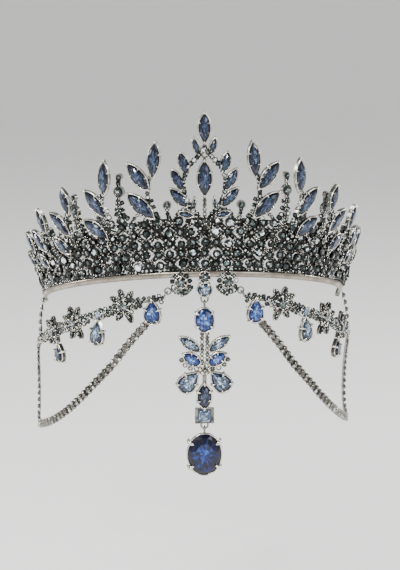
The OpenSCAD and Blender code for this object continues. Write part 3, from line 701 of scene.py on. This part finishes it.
for node, rows in stones.items():
    low, high = VIVID_WING if node.startswith("wing") else (0, np.inf)
    pale = [int(not low < s["width"] < high) for s in rows]
    finish = [finish_of(node), PALE] if any(pale) else [finish_of(node)]
    parts = [(cut_stone(s, 8 if s["width"] < MAIN_STONE else 16), k, False)
             for s, k in zip(rows, pale)]
    make_piece(node + "_cut", parts, finish, body_of[node], [node])


def baguette():
    """The emerald cut: a rectangle with its corners taken off, at sizes and heights that go
    in steps from the back over the girdle to the table."""
    corners = loose_solids("baguette_stone")[0]
    low, high = corners.min(0), corners.max(0)
    x, z = (high[0] - low[0]) / 2, (high[2] - low[2]) / 2
    middle = (low + high) / 2
    c = 0.8
    ring = np.array([(x, c - z), (x, z - c), (x - c, z), (c - x, z),
                     (-x, z - c), (-x, c - z), (c - x, -z), (x - c, -z)])
    depth = high[1] - low[1]
    steps = [(0, 0), (1, 1.0), (1, 1.2), (0.86, 1.55), (0.70, 1.85), (0.58, depth), (0, depth)]
    layers = [np.concatenate([k * ring, np.full((8, 1), h)], 1) for k, h in steps]
    # Painted reflection tone of each step's facets, brightest at the table
    base = np.array([0.1, 0.1, 0.3, 0.55, 0.25, 0.6])[:, None]
    tones = base + rng.uniform(-0.15, 0.15, (2, 6, 8))
    triangles = grid_triangles(len(steps), 8)
    co, tri, tones = weld(np.concatenate(layers), triangles, tones.ravel())
    turned = stacked(co[:, 0] + middle[0], high[1] - co[:, 2], co[:, 1] + middle[2])
    return outward((turned, tri, tones))


make_piece("baguette_stone_cut", [(baguette(), 0, False)], [PALE], "pendant",
           ["baguette_stone"])


# Bezels and claws round every stone that sits in a cup

def bezel(stone, points=36, sides=5):
    """The turned-over rim of a cup: a circle carried round the stone's outline, made a
    little larger than the stone."""
    kind, reach = stone["kind"], STONE_GAP + RIM / 2
    l, w = stone["length"] + 2.4 * reach, stone["width"] + 2 * reach
    flat, normal = edge_places(kind, l, w, np.arange(points + 1) % points / points)
    (x, y), (across, along) = flat.T[..., None], BEZEL_R * normal.T[..., None]
    a = np.arange(sides) * TURN / sides
    ring = stacked(x + across * np.cos(a), y + along * np.cos(a), 0.15 + BEZEL_R * np.sin(a))
    corners, tri, tones = weld(ring.reshape(-1, 3), grid_triangles(points + 1, sides))
    return outward((stone["place"] + corners @ stone["axes"].T, tri, tones))


CLAW_SHARES = {
    "marquise": (0.0, 0.17, 0.33, 0.5, 0.67, 0.83),
    "pear": (0.0, 0.22, 0.40, 0.60, 0.78),
    "oval": (0.10, 0.40, 0.60, 0.90),
    "round": (0.08, 0.25, 0.42, 0.58, 0.75, 0.92),
}


def settings(rows, big, wide):
    """The bezels and claws of a list of stones. A claw's size goes with its stone's width,
    times big, and times wide across the claw."""
    parts = [(bezel(s), 0, True) for s in rows]
    for s in rows:
        kind, l, w = s["kind"], s["length"], s["width"]
        up = s["axes"][:, 2]
        flat, normal = edge_places(kind, l, w, np.array(CLAW_SHARES[kind]))
        out = normal @ s["axes"][:, :2].T
        place = s["place"] + flat @ s["axes"][:, :2].T
        axes = stacked(out, np.cross(up, out), up)
        size = big * np.clip(w / 6.0, 0.62, 1.1)
        parts.append((scatter(claw_shape(), place, axes, size * np.array([[1, wide, 1]])), 0, True))
    return parts


def stones_of(*starts, side="", least=MAIN_STONE):
    """The stones of at least a width of the nodes whose names start so and end in side."""
    return [
        s for n, rows in stones.items() if n.startswith(starts) and n.endswith(side)
        for s in rows if s["width"] >= least
    ]


# Name, body, stones, and how big and wide their claws are
CLAWS = [
    ("tiara_claws", "crown", stones_of("palmette", "spire", "side_leaf", least=1.0), 1.0, 1.0),
    ("cluster_claws", "crown", stones_of("cluster"), 1.2, 1.4),
    ("garland_claws_left", "crown", stones_of("garland", side="left"), 1.3, 1.0),
    ("garland_claws_right", "crown", stones_of("garland", side="right"), 1.3, 1.0),
    ("pendant_claws", "pendant", stones_of("pendant", "wing"), 1.2, 1.4),
    ("drop_claws", "drop", stones_of("drop"), 1.7, 1.7),
]
for name, body, rows, big, wide in CLAWS:
    make_piece(name, settings(rows, big, wide), [LIGHT], body)


# Gallery: small stones on the lattice, one in each gap, and a row above the band

def gallery_share(theta):
    """How much of its front height the gallery keeps at an angle."""
    drop = HEAD_R * (1 - np.cos(np.radians(theta))) * np.tan(np.radians(FALL_ANGLE))
    return 1 - drop / (GALLERY_H * np.cos(np.radians(WALL_FLARE)))


def row_s(theta, row):
    """Height up the wall of a row of the lattice at an angle."""
    return BAND_H + (FIRST_ROW - BAND_H + row * ROW_STEP) * gallery_share(theta)


def edge_s(theta):
    """Height up the wall of the gallery's upper edge at an angle."""
    return BAND_H + (GALLERY_H - BAND_H) * gallery_share(theta)


def jittered(theta, s, out, size, tilt=10.0, spread=0.0):
    """Places on the wall with small seeded turns, shifts and differences in size."""
    n = len(theta)
    theta = theta + rng.normal(0, spread, n) / wall_mm(s)
    s = s + rng.normal(0, spread, n)
    place, axes = on_wall(theta, s, rng.uniform(-40, 40, n), out)
    axes = axes @ turn(0, rng.normal(0, tilt, n)) @ turn(1, rng.normal(0, tilt, n))
    return place, axes, size * rng.uniform(0.85, 1.12, n)


# A small setting in shares of its collet's radius: the stone's height and radius, and the
# grains' distance from the middle, height and radius
SEAT_H, SEAT_R = 0.62, 0.86
GRAIN_OUT, GRAIN_H, GRAIN_R = 0.94, 0.86, 0.32
GRAIN_ANGLES = np.radians(np.array([45.0, 135.0, 225.0, 315.0]))


def set_stones(place, axes, size, grains=True, painted_glint_share=0.45):
    """Small stones in their collets, with four grains round each: bright grains, painted as
    catching the light, on a share of the stones, dark ones on the rest. Finish 0 is the
    collets', 1 the stones' and 2 the bright grains'."""
    axes = np.broadcast_to(axes, (len(size), 3, 3))
    x, y, up = axes[..., 0], axes[..., 1], axes[..., 2]
    seat = place + up * (SEAT_H * size)[:, None]
    parts = [
        (scatter(collet_shape(), place, axes, size), 0, False),
        (scatter(small_stone_shape(), seat, axes, SEAT_R * size, 0.36), 1, False),
    ]
    if grains:
        a = GRAIN_ANGLES[:, None, None]
        ring = GRAIN_OUT * (np.cos(a) * x + np.sin(a) * y)
        spots = place + ring * size[:, None] + up * (GRAIN_H * size)[:, None]
        # Stones whose grains are painted as catching the light, in light silver
        bright = np.tile(rng.random(len(size)) < painted_glint_share, len(GRAIN_ANGLES))
        spots = spots.reshape(-1, 3)
        big = np.tile(GRAIN_R * np.sqrt(size), len(GRAIN_ANGLES))
        for pick, finish in ((bright, 2), (~bright, 0)):
            if pick.any():
                beads = scatter(bead_shape(5, 4), spots[pick], np.eye(3), big[pick])
                parts.append((beads, finish, True))
    return parts


def lattice():
    """Angles and heights of the lattice's crossings, of the stones on the strips between
    them, and of the gaps' middles. Every second row stands half a column on."""
    columns = np.arange(-GALLERY_COLUMNS - 1, GALLERY_COLUMNS + 1)
    rows, k = np.meshgrid(np.arange(GALLERY_ROWS), columns, indexing="ij")
    rows, k = rows.ravel(), k.ravel()
    end = BAND_HALF_ARC - CLEAR_ENDS
    cross = COLUMN_STEP * (k + (1 - rows % 2) / 2)
    gaps = COLUMN_STEP * (k + (rows % 2) / 2)
    inside, middle = np.abs(cross) < end, np.abs(gaps) < end
    upper = inside & (rows < GALLERY_ROWS - 1)
    strips = []
    for share in (0.36, 0.64):
        for way in (-0.5, 0.5):
            theta = cross + way * COLUMN_STEP * share
            strips.append(stacked(theta, row_s(theta, rows + share))[upper])
    crossings = stacked(cross, row_s(cross, rows))[inside]
    return crossings, np.concatenate(strips), stacked(gaps, row_s(gaps, rows))[middle]


crossings, strips, gaps = lattice()
seats = np.array([s["place"] for s in stones_of("gallery", least=0)])
place, axes, size = jittered(*crossings.T, GALLERY_T - 0.1, CROSSING_STONE_R)
bare = np.linalg.norm(place[:, None] - seats, axis=-1).min(1) > 2.2
parts = set_stones(place[bare], axes[bare], size[bare])
parts += set_stones(*jittered(*strips.T, GALLERY_T - 0.15, STRIP_STONE_R, 12.0, 0.15))
make_piece("gallery_pave", parts, [ANTIQUE, CLEAR, LIGHT])

share = gallery_share(gaps[:, 0])
place, axes, size = jittered(*gaps.T, 0.45, GAP_STONE_R, 11.0, 0.25)
parts = set_stones(place, axes, size * (0.45 + 0.55 * share), painted_glint_share=0.3)
for sideways, up in ((-2.85, 0), (2.85, 0), (0, -2.6), (0, 2.6)):
    theta = gaps[:, 0] + sideways / wall_mm(gaps[:, 1])
    corner = jittered(theta, gaps[:, 1] + up * share, 0.75, CORNER_STONE_R, 10.0, 0.15)
    parts += set_stones(*corner, False)
make_piece("gallery_gap_stones", parts, DARK_WORK)

last = BAND_HALF_ARC - 2
count = int(2 * last * wall_mm(BAND_H) / BAND_STONE_PITCH)
theta = np.linspace(-last, last, count)
row = jittered(theta, np.full(count, BAND_H + 1.1), BAND_T - 0.5, BAND_STONE_R, 4.0)
make_piece("band_row_stones", set_stones(*row), DARK_WORK)


# Band: a smooth rounded strip over the plain band

def strip_round_wall(profile, half_arc, steps=220):
    """A closed section of height and distance out carried round the wall, with flat ends."""
    profile = np.asarray(profile, float)
    theta = np.linspace(-half_arc, half_arc, steps)
    n = len(profile)
    t, k = np.meshgrid(theta, np.arange(n), indexing="ij")
    corners = on_wall(t.ravel(), profile[k.ravel(), 0], 0, profile[k.ravel(), 1])[0]
    fan = stacked(0, np.arange(1, n - 1), np.arange(2, n))
    tri = np.concatenate([grid_triangles(steps, n), fan[:, ::-1], fan + (steps - 1) * n])
    return outward(weld(corners, tri))


a = np.linspace(0, np.pi, 9)
face = stacked(BAND_H * 0.48 - 1.35 * np.cos(a), BAND_T - 0.15 + 0.38 * np.sin(a))
strip = strip_round_wall(face, BAND_HALF_ARC - 0.4)
make_piece("band_face", [(strip, 0, True)], [WARM])


# Stems: rows of small stones on their wires

STEM_PITCH, BUD_PITCH = 2.1, 2.9
STEM_OUT = EMBED + WIRE_W - 0.1
# From a wire's middle line to the edge of a stone beside it
BESIDE_WIRE = 0.45


def along_wall(row, side, pitch):
    """Angles and heights at an even pitch along a stem."""
    row = np.asarray(row, float)
    degree = wall_mm(row[:, 1].mean())
    x, s = even_points(row * [degree, 1], pitch).T
    return side * x / degree, s


def stem_buds(side):
    """Round stones on both sides of the tall stems, above the gallery, where the sprays are
    fullest: each touches its stem, and they shrink as they go up."""
    parts = []
    for row in STEMS[:8]:
        theta, s = along_wall(row, side, BUD_PITCH)
        above = s - edge_s(theta)
        pick = (above > -1.0) & (above < 10.5)
        theta, s, above = theta[pick], s[pick], above[pick]
        for way in (-1, 1):
            size = (1.75 - 0.07 * above) * rng.uniform(0.85, 1.1, len(s))
            beside = theta + way * (size + BESIDE_WIRE) / wall_mm(s)
            spots = jittered(beside, s + rng.normal(0, 0.3, len(s)), 0.5, 1.0, 12.0)
            parts += set_stones(spots[0], spots[1], size, painted_glint_share=0.4)
    return parts


for name, side in SIDES:
    parts = []
    for row in STEMS:
        theta, s = along_wall(row, side, STEM_PITCH)
        big = 1.3 if row is STEMS[-1] else 1.1
        size = big * rng.uniform(0.9, 1.1, len(s))
        parts += set_stones(*on_wall(theta, s, 0, STEM_OUT), size, painted_glint_share=0.7)
    parts += stem_buds(side)
    make_piece("stem_stones_" + name, parts, DARK_WORK)

# Heights up the middle stem, under the heart stone and under the tip stone
low_row, high_row = np.linspace(26, 37, 6), np.array([58.6, 61.9])
parts = set_stones(*on_wall(np.zeros(6), low_row, 0, STEM_OUT), np.full(6, 1.05))
parts += set_stones(*on_wall(np.zeros(2), high_row, 0, STEM_OUT), np.array([1.7, 1.3]))
make_piece("middle_stem_stones", parts, BRIGHT_WORK)


# Festoons: arches of small stones on the gallery's top edge, between the stems' feet

FESTOON_PITCH, FESTOON_STONE_R, CREST_STONE_R = 1.8, 0.98, 1.3


def festoon(start, end, rise, side):
    """Stones along half an ellipse that stands on the edge from one angle to another, a
    larger stone on its top and one inside it."""
    a = np.linspace(0, np.pi, 60)
    theta = (start + end) / 2 - (end - start) / 2 * np.cos(a)
    foot = edge_s(theta) - 0.6
    degree = wall_mm(GALLERY_H)
    x, s = even_points(stacked(theta * degree, foot + rise * np.sin(a)), FESTOON_PITCH).T
    parts = set_stones(*jittered(side * x / degree, s, 0.35, FESTOON_STONE_R, 6.0))
    middle = side * np.full(2, (start + end) / 2)
    crest = foot.mean() + rise
    pair = np.array([crest + 1.7, crest - 0.5 * rise - 0.9])
    return parts + set_stones(*jittered(middle, pair, 0.4, CREST_STONE_R, 6.0))


# Festoons, right half: the angles where they stand, and how high they rise
FESTOONS = [
    (1.6, 9.2, 5.0), (14.8, 23.4, 4.4), (30.4, 40.0, 4.2),
    (46.4, 55.8, 3.8), (60.8, 70.0, 3.4), (74.6, 82.0, 3.0),
]
for name, side in SIDES:
    parts = []
    for start, end, rise in FESTOONS:
        parts += festoon(start, end, rise, side)
    make_piece("festoon_stones_" + name, parts, [SOFT, SMOKE, LIGHT])


# Cluster under the band: small stones round its side stones and on its leaves

# The side stone's angle and height, and those of each leaf's two tips
CLUSTER_SIDE = (8.4, -2.2)
CLUSTER_LEAVES = [(12.6, -5.0, 7.6, -7.6), (4.0, -4.0, 8.8, -8.8)]
CLUSTER_RING_R = 4.1


def cluster_beads():
    """Nine small stones round each side stone and four along each leaf."""
    parts = []
    a = np.arange(9) * TURN / 9
    share = np.array([0.12, 0.38, 0.62, 0.88])
    theta = CLUSTER_SIDE[0] + CLUSTER_RING_R * np.sin(a) / wall_mm(CLUSTER_SIDE[1])
    s = CLUSTER_SIDE[1] + CLUSTER_RING_R * np.cos(a)
    for _, side in SIDES:
        ring = on_wall(side * theta, s, 0, EMBED + CUP_H - 1.1)
        parts += set_stones(*ring, rng.uniform(1.1, 1.35, 9), painted_glint_share=0.8)
        for t0, s0, t1, s1 in CLUSTER_LEAVES:
            t, up = side * (t0 + share * (t1 - t0)), s0 + share * (s1 - s0)
            spots = on_wall(t, up, 0, EMBED + CUP_H - 0.2)
            parts += set_stones(*spots, np.array([0.75, 1.15, 1.15, 0.75]))
    return parts


make_piece("cluster_beads", cluster_beads(), DARK_WORK)


# Garland: small stones along its wire, beside it and on its flowers' leaves

VINE_PITCH, VINE_BUD_PITCH = 1.9, 2.5
VINE_STONE_R = 1.05


def vine_points(pitch):
    """Points at an even pitch along the garland's wire, its angles turned into millimetres."""
    return even_points(np.array(VINE) * [VINE_MM, 1], pitch)


def vine_row(spots, side, out, size, rows, spare):
    """Stones at flat points on or beside the garland's wire. Each main stone keeps a circle
    round it free, of its greater half size and a spare width."""
    place, axes = on_head(side * spots[:, 0] / VINE_MM, spots[:, 1], 0, out)
    main = np.array([s["place"] for s in rows])
    reach = np.array([max(s["length"], s["width"]) / 2 + spare for s in rows])
    free = (np.linalg.norm(place[:, None] - main, axis=-1) > reach).all(1)
    return set_stones(place[free], axes[free], size[free], painted_glint_share=0.7)


def vine_stones(side, rows):
    """One row of round stones on the garland's wire and one on each side of it, moved square
    to it by their own radius."""
    spots = vine_points(VINE_PITCH)
    size = np.full(len(spots), VINE_STONE_R)
    parts = vine_row(spots, side, 0.2 + WIRE_W - 0.15, size, rows, 0.9)
    spots = vine_points(VINE_BUD_PITCH)
    for way in (-1, 1):
        size = rng.uniform(0.95, 1.35, len(spots))
        beside = spots + way * (size + BESIDE_WIRE)[:, None] * path_normals(spots)
        out = 0.5 + rng.uniform(0, 0.6, len(spots))
        parts += vine_row(beside, side, out, size, rows, 0.6)
    return parts


def flower_leaves(side):
    """Stones round each garland flower: a ring round its own stone, three along each of its
    leaves, and bright grains along each leaf's outline."""
    parts = []
    a = np.radians(np.arange(9) * 40.0 + 12.0)[:, None]
    leaf_row = LEAF_FOOT + np.array([1.2, 3.1, 4.9])[:, None]
    t = even_shares("marquise", LEAF_L, LEAF_W, 0.8)
    rim = edge_places("marquise", LEAF_L, LEAF_W, t, -0.2)[0]
    for phi, z, leans in FLOWERS:
        place, axes = on_head(side * phi, z)
        x, y, up = axes[0].T
        ring = place + FLOWER_RING_R * (np.cos(a) * x + np.sin(a) * y) + 1.5 * up
        parts += set_stones(ring, axes, rng.uniform(0.95, 1.25, 9), painted_glint_share=0.7)
        for lean in leans:
            place, axes = on_head(side * phi, z, side * lean)
            x, y, up = axes[0].T
            at = place + leaf_row * y + 1.4 * up
            parts += set_stones(at, axes, np.array([0.90, 1.20, 0.85]))
            at = place + (rim[:, :1] * x + (rim[:, 1:] + LEAF_FOOT + LEAF_L / 2) * y + 1.45 * up)
            parts.append((scatter(bead_shape(6, 4), at, np.eye(3), 0.27), 2, True))
    return parts


for name, side in SIDES:
    parts = vine_stones(side, stones_of("garland", side=name)) + flower_leaves(side)
    make_piece("garland_stones_" + name, parts, DARK_WORK)


# Cup chains: two claw-set stones side by side on each link

# Height and radius of a cup's stone, and its claws' height and distance from the middle
CUP_STONE_H, CUP_STONE_R = 1.28, 0.86
CUP_CLAW_H, CUP_CLAW_OUT = 1.32, 0.93


def chain_places(row, side):
    """Places and axes of the links: even steps along the smooth curve, y along the chain
    and z away from the head."""
    path = smooth_path(row)
    points = on_head(side * path[:, 0], path[:, 1], 0, path[:, 2])[0]
    run = running(points)
    at = even_lengths(run, LINK_PITCH)
    phi, z, off = at_length(at, run, path).T
    place, axes = on_head(side * phi, z, 0, off)
    out = axes[..., 2]
    step = 0.4
    along = at_length(at + step, run, points) - at_length(at - step, run, points)
    along -= out * (along * out).sum(-1, keepdims=True)
    along /= np.linalg.norm(along, axis=-1, keepdims=True)
    return place, stacked(np.cross(along, out), along, out)


def chain_parts(row, side):
    """Cups, stones and claws of one chain, and the plate under each pair of cups, which is a
    cylinder of four sides."""
    place, axes = chain_places(row, side)
    sideways, along, out = axes[..., 0], axes[..., 1], axes[..., 2]
    cup_r = LINK_CUP_D / 2
    profile = [(0, 0), (0.86, 0), (1, 0.9), (0.88, 1.25), (0.78, 1.25), (0.7, 0.8), (0, 0.8)]
    cup = spun(profile, 10)
    claw_size = [(0.24, 0.24, 0.45)]
    parts = []
    for way in (-1, 1):
        at = place + way * (cup_r + LINK_CUP_GAP / 2) * sideways
        parts.append((scatter(cup, at, axes, cup_r), 0, False))
        seat = at + CUP_STONE_H * out
        stone = scatter(small_stone_shape(), seat, axes, CUP_STONE_R, 0.34)
        parts.append((stone, 1, False))
        for a in GRAIN_ANGLES:
            off = CUP_CLAW_OUT * (np.cos(a) * sideways + np.sin(a) * along)
            claw = scatter(bead_shape(5, 4), at + off + CUP_CLAW_H * out, axes, claw_size)
            parts.append((claw, 2, True))
    plate = spun([(0, 0), (1, 0), (1, 0.5), (0, 0.5)], 4)
    parts.append((scatter(plate, place, axes @ turn(2, 45), [(2.4, 2.4, 1.0)]), 0, False))
    return parts


for name, side in SIDES:
    for piece, node, row in (("side_cup_chain_", "side_chain_", SIDE_CHAIN),
                             ("end_cup_strand_", "end_strand_", END_STRAND)):
        make_piece(piece + name, chain_parts(row, side), BRIGHT_WORK,
                   replaced=[node + name])


# Pendant: a knot of beads at the wings' middle, and stones along its bars and wings

# The vivid wing stone: sideways place, height, lean, length and width
WING_BLUE = (6.0, -15.6, 58, 10.8, 6.4)
KNOT_Z = -20.5
KNOT_R = 2.1
BAR_X = 1.25


def pendant_beads():
    """A ring of six beads round a set stone, a row of set stones on each bar, and four along
    the lower edge of each vivid wing stone."""
    a = np.arange(6) * TURN / 6
    ring = on_pendant(KNOT_R * np.cos(a), KNOT_Z + KNOT_R * np.sin(a), 0, CUP_H + 0.3)[0]
    parts = [(scatter(bead_shape(9, 6), ring, np.eye(3), 1.0), 2, True)]
    parts += set_stones(*on_pendant(0, KNOT_Z, 0, CUP_H), np.array([1.5]), painted_glint_share=1)
    z = np.arange(-16.8, -2.6, 2.0)
    t = np.array([0.10, 0.20, 0.30, 0.40])
    x, height, lean, length, width = WING_BLUE
    for _, side in SIDES:
        parts += set_stones(*on_pendant(BAR_X * side, z, 0, 1.2), np.full(len(z), 1.1), painted_glint_share=1)
        middle, axes = on_pendant(side * x, height, side * lean)
        flat = edge_places("marquise", length, width, t if side > 0 else 1 - t, 0.9)[0]
        spots = middle + flat @ axes[0, :, :2].T + 0.9 * axes[0, :, 2]
        parts += set_stones(spots, axes, np.full(4, 1.35), painted_glint_share=1)
    return parts


make_piece("pendant_beads", pendant_beads(), BRIGHT_WORK, "pendant")


# Stage, light and camera

low, high = [np.array(v) for v in cad_box]
centre = (low + high) / 2
FLOOR_Z = low[2] - 120 * MM
PALE_PAPER = (0.80, 0.80, 0.79, 1)


def backdrop():
    """A pale sweep: a flat round floor that curves up into a wall, a profile carried round,
    seen from its inside."""
    radius, reach, tall = 1400.0, 3600.0, 3000.0
    a = np.linspace(0, np.pi / 2, 16)
    bend = stacked(reach - radius + radius * np.sin(a), radius * (1 - np.cos(a)))
    corners, tri, _ = spun(np.concatenate([[(0, 0)], bend, [(reach, tall)]]), 96)
    mesh = bpy.data.meshes.new("sweep")
    mesh.from_pydata((corners * MM + [0, 0, FLOOR_Z]).tolist(), [], tri[:, ::-1].tolist())
    mesh.polygons.foreach_set("use_smooth", np.ones(len(tri), bool))
    material, _, shader, _ = new_material("pale_paper")
    shader.inputs["Base Color"].default_value = PALE_PAPER
    shader.inputs["Roughness"].default_value = 0.9
    shader.inputs["Emission Color"].default_value = PALE_PAPER
    shader.inputs["Emission Strength"].default_value = 0.30
    mesh.materials.append(material)
    return new_object("sweep", mesh)


backdrop()

# Square lamps aimed at the crown: name, place, side, power, colour
LAMPS = [
    ("key", (-0.7, -0.9, 1.1), 0.5, 22, (1.0, 0.98, 0.95)),
    ("fill", (0.9, -1.1, 0.5), 0.7, 6, (0.93, 0.96, 1.0)),
    ("top", (0.1, 0.2, 1.2), 0.6, 12, (1, 1, 1)),
    ("left_edge", (-1.0, 0.3, 0.3), 0.25, 7, (1, 1, 1)),
    ("right_edge", (1.0, 0.3, 0.35), 0.25, 7, (1, 1, 1)),
    ("spark", (-0.25, -1.0, 0.75), 0.06, 4, (1, 1, 1)),
]
for name, place, size, power, colour in LAMPS:
    lamp = bpy.data.lights.new(name, "AREA")
    lamp.size = size
    lamp.energy = power
    lamp.color = colour
    light = new_object(name, lamp)
    light.location = place
    towards = Vector(centre) - light.location
    light.rotation_euler = towards.to_track_quat("-Z", "Y").to_euler()

world = bpy.data.worlds.new("studio")
bpy.context.scene.world = world
world.use_nodes = True
sky = world.node_tree.nodes["Background"]
sky.inputs["Color"].default_value = (0.75, 0.78, 0.82, 1)
sky.inputs["Strength"].default_value = 0.22

CAMERA_AZIMUTH = np.radians(-4.5)
CAMERA_ELEVATION = np.radians(12.0)
CAMERA_DISTANCE = 0.9
VIEW_WIDTH = 0.196
WALL_FRONT_Y = -0.045

camera_data = bpy.data.cameras.new("camera")
camera = new_object("camera", camera_data)
back = np.array([np.sin(CAMERA_AZIMUTH) * np.cos(CAMERA_ELEVATION),
                 -np.cos(CAMERA_AZIMUTH) * np.cos(CAMERA_ELEVATION), np.sin(CAMERA_ELEVATION)])
target = np.array([0.0, WALL_FRONT_Y, centre[2]])
camera.location = target + CAMERA_DISTANCE * back
camera.rotation_euler = Vector(-back).to_track_quat("-Z", "Y").to_euler()
camera_data.sensor_fit = "HORIZONTAL"
camera_data.lens = camera_data.sensor_width * CAMERA_DISTANCE / VIEW_WIDTH
camera_data.clip_start = 0.01
bpy.context.scene.camera = camera
